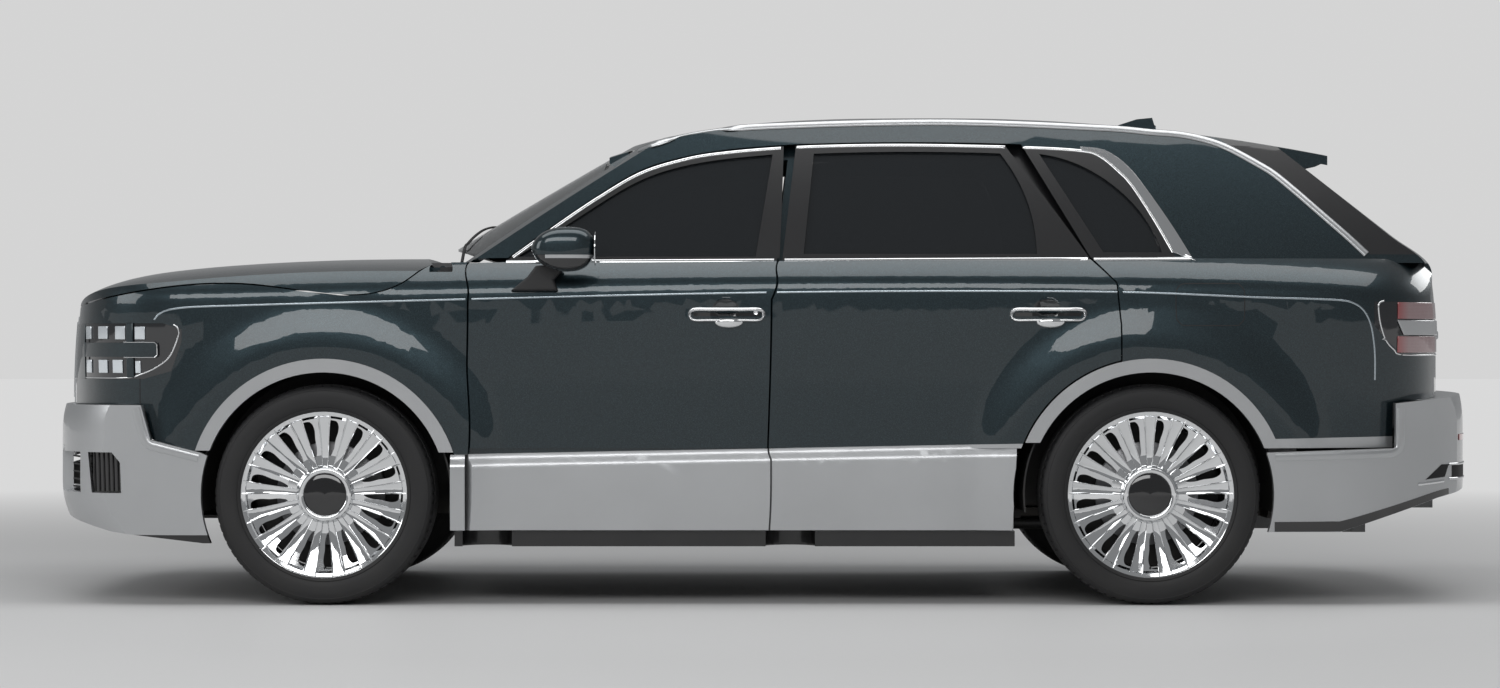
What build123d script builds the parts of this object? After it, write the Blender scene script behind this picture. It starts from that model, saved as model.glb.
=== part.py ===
from build123d import *
import os
from math import atan2, cos, degrees, hypot, pi, radians, sin, sqrt

# Five-door luxury crossover: nose towards -X, left side towards -Y, ground at z 0.
# All sizes are in millimetres.

# Driving dimensions
length = 5205
width = 1990
wheelbase = 2950
front_overhang = 1040
tyre_radius = 394
tyre_width = 255
track = 1700
flange_radius = 297
shut_gap = 5.5
seat_gap = 0.3
joint_gap = 0.8

x_nose = -length / 2
x_tail = length / 2
front_axle = x_nose + front_overhang
rear_axle = front_axle + wheelbase
axle_z = tyre_radius
far = 1500

# Body side
shoulder_half = width / 2 - 33
belt_z = 1224
sill_z = 267
nose_taper_x = -1250
nose_taper = 560
tail_taper_x = 1400
tail_taper = 520
lean = 22
shoulder_drop = 72
shoulder_rise = 113
flare = 26
flare_outer = 700
flare_inner = 537
frame_line_depth = 3

# Wheel arches
arch_radius = 437
moulding_radius = 486
moulding_depth = 40

# Thicknesses
skin = 10
door_depth = 95
frame_depth = 42
pillar_depth = 50
glass_thick = 5
roof_thick = 14
bonnet_thick = 24
gate_depth = 60

# Greenhouse
belt_half = 888
tumble = 0.40
tumble_curve = 0.00013


def smooth(t):
    """Rises from 0 to 1 with level ends."""
    t = max(0.0, min(1.0, t))
    return t * t * (3 - 2 * t)


def above(value, start):
    return max(0.0, value - start)


def crease_z(x):
    """Height of the line that frames the body side from above."""
    return 1121 - 42 * (above(560, x) / 2700) ** 1.6 - 34 * (above(x, 700) / 1450) ** 2


def side_y(x, z):
    """Half width of the body side at a station and a height, with the swell over each wheel."""
    y = shoulder_half
    y -= nose_taper * (above(nose_taper_x, x) / 1330) ** 9
    y -= tail_taper * (above(x, tail_taper_x) / 1150) ** 8
    top = crease_z(x)
    y -= lean * (above(top, z) / 570) ** 2
    y -= shoulder_drop * (above(z, top) / shoulder_rise) ** 2
    for axle in (front_axle, rear_axle):
        r = hypot(x - axle, z - axle_z)
        y += flare * smooth((flare_outer - r) / (flare_outer - flare_inner))
    return y


def band_top(x):
    """Top edge of the bright lower band, which climbs a little to the rear."""
    return 558 + 0.019 * x


def band_y(x, z):
    """Half width of the lower band, with its bevelled top edge."""
    y = shoulder_half - 2
    y -= nose_taper * (above(nose_taper_x, x) / 1330) ** 9
    y -= tail_taper * (above(x, tail_taper_x) / 1150) ** 8
    y -= 10 * (above(430, z) / 170) ** 2
    y -= 15 * smooth((z - band_top(x) + 46) / 40)
    for axle in (front_axle, rear_axle):
        y += 18 * smooth((620 - abs(x - axle)) / 130)
    return y


def cabin_y(x, z):
    """Half width of the side glass and pillars."""
    y = belt_half - tumble * (z - belt_z) - tumble_curve * (z - belt_z) ** 2
    y -= 34 * (above(-200, x) / 1000) ** 2
    y -= 120 * (above(x, 800) / 1500) ** 2
    return y


def bonnet_z(x, y):
    u = above(nose_taper_x, x)
    z = 1255 - 60 * (u / 1100) ** 2.2 - 95 * (u / 1278) ** 12
    return z - 25 * (y / 700) ** 2 - 17 * (y / 900) ** 8


def roof_z(x, y):
    ahead = above(690, x)
    front_drop = 125 * (min(ahead, 1232) / 1232) ** 3.3 + 0.335 * above(ahead, 1232)
    z = 1787 - front_drop - 80 * (above(x, 690) / 1072) ** 2
    return z - 34 * (y / 630) ** 2


screen_base_x = -1233
screen_base_z = 1243


def screen_z(x, y):
    run = x - screen_base_x - 183 * (y / 800) ** 2
    return screen_base_z + 0.62 * run - 0.00004 * run * run


def tail_x(y, z):
    """Rear face of the car: upright lower panel, then a shelf, then the raked glass."""
    upright = 2522 - 20 * (above(z, 950) / 250) ** 2
    raked = 2450 - 1.29 * (z - belt_z - 35)
    share = smooth((z - 1150) / 170)
    x = upright * (1 - share) + raked * share
    return x - 60 * (y / 700) ** 2 - 60 * (y / 860) ** 8


def nose_x(y, z):
    """Front face behind the grille frame and lamps."""
    return -2572 + 12 * (above(z, 700) / 300) ** 2 + 90 * (abs(y) / 750) ** 2.4 + 70 * (abs(y) / 850) ** 8


def grid(start, stop, count):
    return [start + (stop - start) * i / count for i in range(count + 1)]


def surface(place, us, vs, tolerance=0.2):
    """Smooth face through the points that place(u, v) gives."""
    points = [[place(u, v) for v in vs] for u in us]
    return Face.make_surface_from_array_of_points(points, tol=tolerance, min_deg=3, max_deg=3)


def sweep(face, x=0.0, y=0.0, z=0.0):
    return Solid.extrude(face, Vector(x, y, z))


def shifted(face, x=0.0, y=0.0, z=0.0):
    return face.moved(Location((x, y, z)))


# Master faces of the left side, and those across the car
side_face = surface(lambda x, z: (x, -side_y(x, z), z), grid(-2600, 2560, 120), grid(520, 1290, 22), 0.5)
band_face = surface(lambda x, z: (x, -band_y(x, z), z), grid(-2100, 2000, 60), grid(255, 600, 40))
cabin_face = surface(lambda x, z: (x, -cabin_y(x, z), z), grid(-1350, 2500, 40), grid(1170, 1830, 14))
bonnet_face = surface(lambda x, y: (x, y, bonnet_z(x, y)), grid(-2620, -850, 70), grid(-990, 990, 30))
roof_face = surface(lambda x, y: (x, y, roof_z(x, y)), grid(-1400, 2600, 60), grid(-960, 960, 12))
screen_face = surface(lambda x, y: (x, y, screen_z(x, y)), grid(-1500, 2700, 30), grid(-960, 960, 16))
tail_face = surface(lambda y, z: (tail_x(y, z), y, z), grid(-1060, 1060, 34), grid(500, 1850, 80))
nose_face = surface(lambda y, z: (nose_x(y, z), y, z), grid(-1060, 1060, 38), grid(500, 1320, 16))

inside_left = sweep(side_face, y=2 * shoulder_half + 200)
inside_side = sweep(side_face, y=700)
inside_cabin = sweep(cabin_face, y=880)
under_bonnet = sweep(bonnet_face, z=-1000)
under_roof = sweep(roof_face, z=-900)
under_screen = sweep(screen_face, z=-3000)
before_tail = sweep(tail_face, x=-6000)
behind_nose = sweep(nose_face, x=4000)


def runs_to_face(runs, place):
    """Face inside a chain of runs: a run of two points is straight, a longer one is a smooth curve."""
    edges = []
    for run in runs:
        points = [place(*p) for p in run]
        edges.append(Edge.make_line(*points) if len(points) == 2 else Edge.make_spline(points))
    return Face(Wire(edges))


def side_prism(*runs, near=-300, out=-1400):
    """Prism along Y through an outline given as x and z."""
    face = runs_to_face(runs, lambda x, z: Vector(x, out, z))
    return Solid.extrude(face, Vector(0, near - out, 0))


def plan_prism(*runs, low=0, high=2000):
    face = runs_to_face(runs, lambda x, y: Vector(x, y, low))
    return Solid.extrude(face, Vector(0, 0, high - low))


def rear_prism(*runs, front=1500, back=2700):
    face = runs_to_face(runs, lambda y, z: Vector(front, y, z))
    return Solid.extrude(face, Vector(back - front, 0, 0))


def closed(points):
    """Straight runs round a list of corners."""
    return [(points[i], points[(i + 1) % len(points)]) for i in range(len(points))]


def box(x0, x1, y0, y1, z0, z1):
    return Pos((x0 + x1) / 2, (y0 + y1) / 2, (z0 + z1) / 2) * Box(x1 - x0, y1 - y0, z1 - z0)


def across(x, z, radius, y0, y1):
    """Cylinder along Y."""
    return Pos(x, (y0 + y1) / 2, z) * Rot(90, 0, 0) * Cylinder(radius, abs(y1 - y0))


def upright(x, y, radius, z0, z1):
    return Pos(x, y, (z0 + z1) / 2) * Cylinder(radius, z1 - z0)


def mirrored(shape):
    return mirror(shape, about=Plane.XZ)


def both(shape):
    return [shape, mirrored(shape)]


def solids_of(*shapes):
    found = []
    for shape in shapes:
        if isinstance(shape, (list, tuple)):
            found += solids_of(*shape)
        else:
            found += list(shape.solids())
    return found


def save(name, *shapes):
    found = solids_of(*shapes)
    export_step(Compound(found) if len(found) > 1 else found[0], f"parts/{name}.step")


# Lines in side view, as x and z on the outer surface
front_door_x = -1049
door_split_x = 30
belt_front = (-925, 1226)
split_belt = (64, 1230)
split_top = (125, 1655)
gate_belt = (1180, 1236)
gate_top = (940, 1655)
window_curve = [belt_front, (-728, 1372), (-586, 1470), (-442, 1557), (-298, 1605), (-152, 1632), split_top]
rear_window_curve = [split_top, (505, 1663), gate_top]
quarter_curve = [gate_top, (1190, 1618), (1371, 1470), (1470, 1300), (1486, 1240)]
rear_door_x = 1279
bonnet_line = [(-2640, 1046), (-2480, 1078), (-2300, 1112), (-1800, 1146), (-1262, 1169), (-1219, 1203), (-1175, 1227)]
bumper_line = [(-2215, 760), (-2215, 715), (-2180, 590), (-2002, 545)]

# Door hinges: the front edge of a door stays in a round room about its upright axis
hinge_y = -(shoulder_half - 57)
hinge_sweep = 85
front_room_top = 72
rear_room_top = 38
mirror_width = 172
handle_z = 1056
front_handle_x = -128
rear_handle_x = 1022
front_hinge_x = front_door_x + 66
rear_hinge_x = door_split_x + shut_gap + 66
door_inner_y = -(shoulder_half - door_depth)
hinge_heights = (640, 1000)
pin_radius = 8
eye_radius = 16

# Steering column
wheel_hub = (-600, -380, 1002)
steer_tilt = 24

# Lid hinges
bonnet_axis = (-1150, 1200)
gate_axis = (1800, 1672)
gate_half = 612
gate_bottom = 775


def at_gap(points, gap, inwards=1):
    """The same line moved square to itself, downwards or inwards for a line drawn to the rear."""
    moved = []
    for i, (x, z) in enumerate(points):
        before, after = points[max(i - 1, 0)], points[min(i + 1, len(points) - 1)]
        dx, dz = after[0] - before[0], after[1] - before[1]
        size = hypot(dx, dz)
        moved.append((x + inwards * gap * dz / size, z - inwards * gap * dx / size))
    return moved


def hinge_room(x, top_radius, extra=0.0):
    """Room that the front edge of a door turns in: a cylinder that narrows above the crease."""
    low = upright(x, hinge_y, hinge_sweep + extra, 190, 1090)
    high = Pos(x, hinge_y, 1165) * Cone(hinge_sweep + extra, top_radius + extra, 150)
    return low + high


def inboard_room(x, top_radius):
    """Room inboard of a hinge line, so that the door in front can swing out past it."""
    r = hinge_sweep + shut_gap
    outline = closed([(x - r, 190), (x - r, 1090), (x - top_radius - shut_gap, 1240), (x + 150, 1240), (x + 150, 190)])
    face = runs_to_face(outline, lambda u, v: Vector(u, hinge_y, v))
    return Solid.extrude(face, Vector(-15, 150, 0))


def hinge_pin(x, z):
    """Pin and its two plates, which reach out from the pillar."""
    shape = upright(x, hinge_y, pin_radius, z - 30, z + 30)
    for low in (z - 30, z + 20):
        shape += upright(x, hinge_y, 12, low, low + 10)
        shape += box(x - 12, x + 12, hinge_y, hinge_y + 110, low, low + 10)
    return shape


def with_hinge(door, x, z):
    """Door with a pocket for the hinge plates and an eye on the pin."""
    door -= box(x - 120, x + 18, hinge_y - 18, hinge_y + 120, z - 38, z + 38)
    door += box(x, x + 24, hinge_y - 12, hinge_y + 12, z - 18, z + 18)
    door += upright(x, hinge_y, eye_radius, z - 18, z + 18)
    return door - upright(x, hinge_y, pin_radius + joint_gap, z - 40, z + 40)


# Doors
def finger_room(x):
    """Scoop behind a door handle."""
    return Pos(x, -1040, handle_z) * Sphere(90)


def front_door():
    lower = closed([(-1130, 560), (-1130, 1220), (-925, 1226), (64, 1230), (64, 560)])
    band = closed([(-1130, sill_z), (-1130, band_top(-1130)), (64, band_top(64)), (64, sill_z)])
    door = inside_left & side_prism(*lower, near=door_inner_y)
    door += sweep(band_face, y=300) & side_prism(*band, near=door_inner_y)
    door += box(-1080, 60, door_inner_y - 60, door_inner_y, band_top(-1080) - 60, 600)
    ahead = box(-1300, front_hinge_x, -1100, -700, 200, 1300) - hinge_room(front_hinge_x, front_room_top)
    top = side_prism(window_curve, (split_top, split_belt), (split_belt, (64, 1200)), ((64, 1200), (-925, 1200)),
                     ((-925, 1200), belt_front))
    frame = sweep(cabin_face, y=frame_depth) & top
    lean_cut = runs_to_face(closed([(64, 1190), (64, 1230), split_top, (135, 1725), (400, 1725), (400, 1190)]),
                            lambda u, v: Vector(u, -1000, v))
    frame -= Solid.extrude(lean_cut, Vector(-0.225 * 600, 600, 0)).moved(Location((0.225 * 110, 0, 0)))
    door += frame
    door = door - ahead - hinge_room(rear_hinge_x, rear_room_top, shut_gap) - inboard_room(rear_hinge_x, rear_room_top)
    door -= front_window(0.0)
    door -= finger_room(front_handle_x)
    for z in hinge_heights:
        door = with_hinge(door, front_hinge_x, z)
    return door


def front_window(grow):
    curve = [(-880 - grow, 1246 - grow), (-716, 1352), (-574, 1447), (-430, 1530), (-290, 1577), (-140, 1604),
             (40, 1622)]
    curve = [(x, z + grow) for x, z in curve]
    curve[-1] = (curve[-1][0] + grow, curve[-1][1])
    corners = [curve[-1], (-22 + grow, 1246 - grow), curve[0]]
    return side_prism(curve, (corners[0], corners[1]), (corners[1], corners[2]))


def rear_window_cut(grow):
    top = [(190 - grow, 1625 + grow), (505, 1632 + grow), (868 + grow, 1626 + grow)]
    right = [top[-1], (960 + grow, 1450), (988 + grow, 1256 - grow)]
    left = (150 - grow, 1256 - grow)
    return side_prism(top, right, (right[-1], left), (left, top[0]))


def rear_door():
    edge = [(rear_door_x, 1000), (rear_door_x - 14, 1150), gate_belt]
    lower = closed([(-60, 560), (-60, 1229), gate_belt, (rear_door_x - 14, 1150), (rear_door_x, 1000),
                    (rear_door_x, 560)])
    band = closed([(-60, sill_z), (-60, band_top(-60)), (910, band_top(910)), (893, sill_z)])
    door = inside_left & side_prism(*lower, near=door_inner_y)
    door += sweep(band_face, y=300) & side_prism(*band, near=door_inner_y)
    door += box(60, 890, door_inner_y - 60, door_inner_y, band_top(0) - 60, 600)
    ahead = box(-300, rear_hinge_x, -1100, -700, 190, 1230) - hinge_room(rear_hinge_x, rear_room_top)
    door -= ahead
    door -= across(rear_axle, axle_z, moulding_radius + shut_gap, -1100, -700)
    front = (split_top[0] + shut_gap, split_top[1] + 10), (split_belt[0] + shut_gap, 1200)
    top = side_prism(rear_window_curve, (gate_top, gate_belt), (gate_belt, (1180, 1200)), ((1180, 1200), front[1]),
                     (front[1], split_top))
    frame = sweep(cabin_face, y=frame_depth) & top
    ahead_of = runs_to_face(closed([front[1], front[0], (-200, 1665), (-200, 1200)]), lambda u, v: Vector(u, -1000, v))
    frame -= Solid.extrude(ahead_of, Vector(-0.225 * 600, 600, 0)).moved(Location((0.225 * 110, 0, 0)))
    frame -= gate_cut()
    door += frame
    door -= rear_window_cut(0.0)
    door -= finger_room(rear_handle_x)
    for z in hinge_heights:
        door = with_hinge(door, rear_hinge_x, z)
    return door


def gate_cut():
    """Room behind the slanted trailing edge of the rear door's window frame."""
    outline = closed([(gate_belt[0], 1170), gate_belt, gate_top, (gate_top[0], 1760), (1500, 1760), (1500, 1170)])
    face = runs_to_face(outline, lambda u, v: Vector(u, -1000, v))
    return Solid.extrude(face, Vector(-0.3 * 600, 600, 0)).moved(Location((0.3 * 130, 0, 0)))


def pane(outline, inset=12):
    """Glass in an opening, a hair clear of its frame."""
    slab = sweep(shifted(cabin_face, y=inset), y=glass_thick)
    return slab & outline


# Body sides
def doors_room():
    """Opening in the outer body side for both doors."""
    lower = closed([(front_hinge_x, 150), (front_hinge_x, 1236 + shut_gap), (gate_belt[0] + shut_gap, 1236 + shut_gap),
                    (rear_door_x - 9, 1151), (rear_door_x + shut_gap, 1000), (rear_door_x + shut_gap, 380),
                    (905, 380), (905, 150)])
    room = side_prism(*lower, near=-800)
    room += hinge_room(front_hinge_x, front_room_top, shut_gap)
    front = at_gap(window_curve, -shut_gap)
    rear = at_gap(rear_window_curve, -shut_gap)
    rear[-1] = (gate_top[0] + shut_gap, rear[-1][1])
    corner = (gate_belt[0] + shut_gap, gate_belt[1])
    base = [(-945, 1200), (corner[0], 1200)]
    upper = side_prism(front[:-1] + [(split_top[0], split_top[1] + shut_gap)],
                       [(split_top[0], split_top[1] + shut_gap)] + rear[1:], (rear[-1], corner), (corner, base[1]),
                       (base[1], base[0]),
                       (base[0], front[0]))
    return room + upper


def upper_shell(thick):
    """Cabin side above the belt as a shell, with the roof, windscreen and tailgate openings cut from it."""
    outer = inside_cabin & under_roof & under_screen & before_tail
    inner = (sweep(shifted(cabin_face, y=thick), y=900) & shifted(under_roof, z=-thick)
             & shifted(under_screen, z=-2 * thick) & shifted(before_tail, x=-2 * thick))
    shell = outer - inner
    shell -= box(-700, 2700, -558, 400, 1000, 1900) + box(-2000, -600, -400, 400, 1000, 1900)
    screen = closed([(-1400, -830), (-1060, -812), (-560, -640), (-560, 100), (-1400, 100)])
    shell -= plan_prism(*screen, low=1100, high=2000)
    shell -= box(gate_axis[0] - 40, 2700, -gate_half - shut_gap, 400, 1000, 1900)
    return shell


def quarter_panel(thick):
    """Rear corner below the belt."""
    hull = sweep(side_face, y=700) & before_tail
    inner = sweep(shifted(side_face, y=thick), y=700) & shifted(before_tail, x=-2 * thick)
    shell = hull - inner
    outline = closed([(1100, 560), (1100, 1240), (2700, 1240), (2700, 766), (2262, 720.7), (2262, 561)])
    shell &= side_prism(*outline, near=-200)
    shell -= box(1900, 2700, -gate_half - shut_gap, 0, 500, 1300)
    shell -= lamp_room(0.0)
    return shell - across(rear_axle, axle_z, moulding_radius, -1100, -600)


def lamp_room(grow):
    front, low, high = 2190 - grow, 893 - grow, 1084 + grow
    outline = closed([(front, high), (2700, high), (2700, low), (2300, low), (2232 - grow, 948 - grow), (front, 1000)])
    return side_prism(*outline, near=-gate_half - shut_gap - 30 + grow)


def side_frame():
    shell = upper_shell(skin + 4)
    shell -= box(-1400, 3000, -1000, 0, 1000, 1226)
    quarter = quarter_panel(skin + 4)
    side = shell + quarter
    side -= doors_room()
    side -= quarter_window(0.0)
    inner = sweep(shifted(cabin_face, y=frame_depth + 8), y=30)
    ring = side_prism([(-1000, 1240), (-728, 1400), (-442, 1590), (-200, 1668), split_top, (505, 1690),
                       (gate_top[0] + 100, 1690)], ((gate_top[0] + 100, 1690), (gate_top[0] + 60, 1600)),
                      [(gate_top[0] + 60, 1600), (505, 1610), (split_top[0], 1606), (-200, 1570), (-442, 1490),
                       (-640, 1372), (-860, 1200)], ((-860, 1200), (-1000, 1240)))
    rail = inner & ring
    b_upper = inner & side_prism(*closed([(45, 1200), (100, 1640), (190, 1640), (150, 1200)]))
    c_upper = inner & side_prism(*closed([(gate_belt[0] - 90, 1200), (gate_top[0] - 40, 1640), (gate_top[0] + 110, 1640),
                                          (gate_belt[0] + 120, 1200)]))
    b_upper -= hinge_room(rear_hinge_x, rear_room_top, shut_gap + 9)
    b_lower = box(20, 190, -812, -760, 300, 1230)
    hinge_pillar = box(-1085, -955, -810, -740.3, 300, 1180)
    sill = box(-1100, 905, -858, -740, 262, 380)
    sill += box(-1100, 905, -925, -740, 208, 262)
    c_lower = box(1090, 1330, -858, -800, 880, 1190) + (box(1300, 1330, -990, -850, 880, 1100) & shifted(inside_side, y=8)) + box(860, 905, -858, -740, 262, 420)
    frame = side + rail + b_upper + c_upper + b_lower + hinge_pillar + sill + c_lower
    frame -= across(rear_axle, axle_z, arch_radius + 20, -1100, -500)
    for x in (front_hinge_x, rear_hinge_x):
        frame -= upright(x, hinge_y, hinge_sweep + shut_gap, 190, 400)
    for z in hinge_heights:
        frame += hinge_pin(front_hinge_x, z)
        frame += hinge_pin(rear_hinge_x, z)
    return frame


def quarter_window(grow):
    front = [(gate_top[0] + 70 - grow, 1624 + grow), (1140, 1590 + grow), (1290, 1495 + grow), (1395, 1370),
             (1440 + grow, 1262 - grow)]
    low = (1228 - grow, 1262 - grow)
    return side_prism(front, (front[-1], low), (low, front[0]))


# Front of the body
def fender():
    hull = inside_side & behind_nose
    inner = sweep(shifted(side_face, y=skin + 4), y=700) & shifted(behind_nose, x=skin + 4)
    shell = hull - inner
    top = at_gap(bonnet_line, shut_gap)
    runs = [top, (top[-1], (-1170, 1225.5)), ((-1170, 1225.5), (-900, 1225.5)), ((-900, 1225.5), (-900, band_top(-900))),
            ((-900, band_top(-900)), (-2002, band_top(-2002)))]
    low = [(-2002, band_top(-2002)), (-2002, 545.6), (-2179.3, 590.7), (-2214.3, 715)]
    runs += [(low[2], low[3]), (low[3], (-2640, 715)), ((-2640, 715), top[0])]
    runs[-3:-3] = [(low[0], low[1]), (low[1], low[2])]
    shell &= side_prism(*runs, near=-200)
    shell -= across(front_axle, axle_z, moulding_radius, -1100, -500)
    shell -= hinge_room(front_hinge_x, front_room_top, shut_gap) + box(front_hinge_x, -800, -1100, -700, 200, 1300)
    shell -= headlamp_room(0.0)
    shell -= grille_room(0.0)
    shell -= across(bonnet_axis[0], bonnet_axis[1], 42, -960, -700) & box(-1400, -1100, -960, -700, 1190, 1260)
    return shell


def headlamp_room(grow):
    upper = closed([(-2700, 1006 + grow), (-2140, 1006 + grow), (-2072 + grow, 985), (-2072 + grow, 940),
                    (-2110, 835 - grow), (-2215, 806 - grow), (-2700, 806 - grow)])
    return side_prism(*upper, near=-470 + grow)


def grille_room(grow):
    return box(-2700, -2300, -430 - grow, 430 + grow, 716, 1034 + grow)


def bonnet():
    body = inside_left & mirrored(inside_left) & under_bonnet & behind_nose
    inner_left = shifted(inside_left, y=bonnet_thick)
    inner = inner_left & mirrored(inner_left) & shifted(under_bonnet, z=-bonnet_thick) & shifted(behind_nose, x=30)
    lid = body - inner
    last = bonnet_line[-1]
    keep = side_prism(bonnet_line, (last, (last[0], 1400)), ((last[0], 1400), (-2640, 1400)),
                      ((-2640, 1400), bonnet_line[0]), near=1400)
    lid &= keep
    plan = plan_prism([(-1175, -862), (-1240, -430), (-1262, 0), (-1240, 430), (-1175, 862)],
                      ((-1175, 862), (-1175, 1100)), ((-1175, 1100), (-2700, 1100)), ((-2700, 1100), (-2700, -1100)),
                      ((-2700, -1100), (-1175, -1100)), ((-1175, -1100), (-1175, -862)), low=1000, high=1400)
    lid &= plan
    x, z = bonnet_axis
    for y in (-812, 812):
        arm = box(x - 92, x, y - 12, y + 12, z - 8, z + 8) + across(x, z, 14, y - 12, y + 12)
        arm += box(x - 92, x - 60, y - 12, y + 12, z - 8, z + 12)
        lid += arm - across(x, z, pin_radius + joint_gap, y - 20, y + 20)
    return lid


def scuttle():
    """Cowl between the bonnet and the windscreen, with the bulkhead under it and the bonnet's hinge pins."""
    plan = [(-1165, -856), (-1232, -430), (-1254, 0), (-1232, 430), (-1165, 856)]
    back = [(-1010, 856), (-1120, 430), (-1150, 0), (-1120, -430), (-1010, -856)]
    cowl = plan_prism(plan, (plan[-1], back[0]), back, (back[-1], plan[0]), low=1150, high=1300)
    cowl &= shifted(under_bonnet, z=-14)
    cowl -= shifted(under_bonnet, z=-26) & box(-1400, -900, -850, 850, 1100, 1300)
    cowl -= both(hinge_room(front_hinge_x, front_room_top, shut_gap))
    wall = box(-1100, -1088, -738, 738, 420.3, 1200)
    shape = cowl + wall
    x, z = bonnet_axis
    for side in (-1, 1):
        y = side * 812
        shape -= box(x - 130, x + 24, y - 18, y + 18, z - 26, z + 60)
        for inner in (-26, 16):
            shape += box(x - 9, x + 50, y + inner, y + inner + 10, z - 60, z + 9)
        shape += across(x, z, pin_radius, y - 26, y + 26)
    return shape


def windscreen():
    slab = sweep(screen_face, z=-7)
    plan = closed([(-1060, -811), (-575, -644.4), (-575, 0), (-1300, 0), (-1300, -824)])
    half = slab & plan_prism(*plan, low=1100, high=1900)
    base = plan_prism([(-1010, -856), (-1120, -430), (-1150, 0)], ((-1150, 0), (-2000, 0)), ((-2000, 0), (-2000, -856)),
                      ((-2000, -856), (-1010, -856)), low=1100, high=1900)
    half -= base
    half &= shifted(under_roof, z=-1)
    return half + mirrored(half)


def roof_panel():
    slab = sweep(roof_face, z=-roof_thick)
    slab &= box(-620, gate_axis[0] - 28 - shut_gap, -557.7, 557.7, 1400, 1900)
    slab &= shifted(under_screen, z=0)
    for x in (-560, 120, 900, 1600):
        bow = sweep(shifted(roof_face, z=2 - roof_thick), z=-24) & box(x, x + 70, -557.7, 557.7, 1400, 1900)
        slab += bow
    slab += side_prism(*closed([(1365, 1750), (1372, 1772), (1440, 1794), (1500, 1800), (1517, 1745)]), near=20, out=-20)
    x, z = gate_axis
    for y in (-420, 420):
        slab += box(x - 60, x - 30, y - 20, y + 20, z - 12, z + 20) & shifted(under_roof, z=-2)
        for inner in (-26, 16):
            slab += box(x - 60, x, y + inner, y + inner + 10, z - 9, z + 9) + across(x, z, 9, y + inner, y + inner + 10)
        slab += across(x, z, 6, y - 26, y + 26)
    return slab


def tailgate():
    outer = before_tail & box(1700, 2700, -gate_half, gate_half, gate_bottom, 1700)
    inner = shifted(before_tail, x=-gate_depth)
    gate = outer - inner
    x, z = gate_axis
    gate &= under_roof
    spoiler = sweep(roof_face, z=-34) & box(x - 60, 2075, -gate_half, gate_half, 1500, 1800)
    gate += spoiler
    front = box(x - 200, x, -700, 700, 1500, 1800) - across(x, z, 30, -700, 700)
    gate -= front
    for y in (-420, 420):
        gate -= across(x, z, 34, y - 30, y + 30) + box(x - 100, x + 14, y - 30, y + 30, z - 60, z + 14)
        gate += across(x, z, 12, y - 12, y + 12) + box(x, x + 44, y - 12, y + 12, z - 10, z + 5)
        gate -= across(x, z, 6 + joint_gap, y - 20, y + 20)
    return gate - rear_window_room(0.0)


def rear_window_room(grow):
    outline = closed([(-540 - grow, 1285 - grow), (-510 - grow, 1590 + grow), (510 + grow, 1590 + grow),
                      (540 + grow, 1285 - grow)])
    return rear_prism(*outline, front=1700)


def rear_window():
    slab = sweep(shifted(tail_face, x=-10), x=-8)
    return slab & rear_window_room(-seat_gap)


# Lower body
def bumper_room(back=False):
    """Room behind the front bumper's outer face, or in front of the rear one's."""
    def place(y, z):
        if back:
            x = 2602.5 - 20 * (above(z, 640) / 140) ** 2 - 40 * (above(430, z) / 130) ** 2
            return x - 50 * (abs(y) / 750) ** 2.6 - 130 * (abs(y) / 960) ** 9, y, z
        x = -2602.5 + 16 * (above(z, 620) / 100) ** 2 + 30 * (above(430, z) / 130) ** 2
        return x + 62 * (abs(y) / 750) ** 2.6 + 150 * (abs(y) / 960) ** 9, y, z

    face = surface(place, grid(-985, 985, 40), grid(215, 800, 18))
    return sweep(face, x=-1500 if back else 1500)


def front_bumper():
    front = bumper_room()
    outline = closed([(-2700, 714), (-2215, 714), (-2180, 590), (-2002, 545), (-1900, 500), (-1900, 222), (-1990, 222),
                      (-2330, 262), (-2700, 352)])
    hull = front & flanks & side_prism(*outline, near=1400)
    inner = shifted(front, x=40) & inner_flanks & box(-2600, -1900, -1000, 1000, 200, 690)
    hull -= inner
    hull -= across(front_axle, axle_z, arch_radius, -1100, 1100)
    hull -= box(-2700, -2480, -560, 560, 400, 520)
    for side in (-1, 1):
        hull -= box(-2700, -2300, side * 760 - 110, side * 760 + 110, 400, 545)
    vent = closed([(-2416, 545), (-2322, 545), (-2290, 508), (-2286, 400), (-2400, 400)])
    hull -= both(side_prism(*vent, near=-700))
    return hull


def side_band():
    """Outer limit of the bumpers' flanks."""
    def place(x, z):
        y = shoulder_half + 22
        y -= nose_taper * (above(nose_taper_x, x) / 1500) ** 9
        y -= tail_taper * (above(x, tail_taper_x) / 1280) ** 8
        return x, -y, z
    return surface(place, grid(-2640, 2640, 60), grid(200, 800, 6))


left_flank = sweep(side_band(), y=1990)
flanks = left_flank & mirrored(left_flank)
inner_flanks = shifted(left_flank, y=34) & mirrored(shifted(left_flank, y=34))


def rear_bumper():
    back = bumper_room(back=True)
    outline = closed([(2700, 765), (2262, 719.7), (2262, 560), (1800, 545), (1800, 262), (2060, 262), (2420, 380),
                      (2700, 440)])
    hull = back & flanks & side_prism(*outline, near=1400)
    hull -= shifted(back, x=-40) & inner_flanks & box(1700, 2560, -1000, 1000, 200, 730)
    hull -= Pos(2560, 520, 540) * Rot(0, 90, 0) * Cylinder(20, 200)
    return hull - across(rear_axle, axle_z, arch_radius, -1100, 1100)


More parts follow.
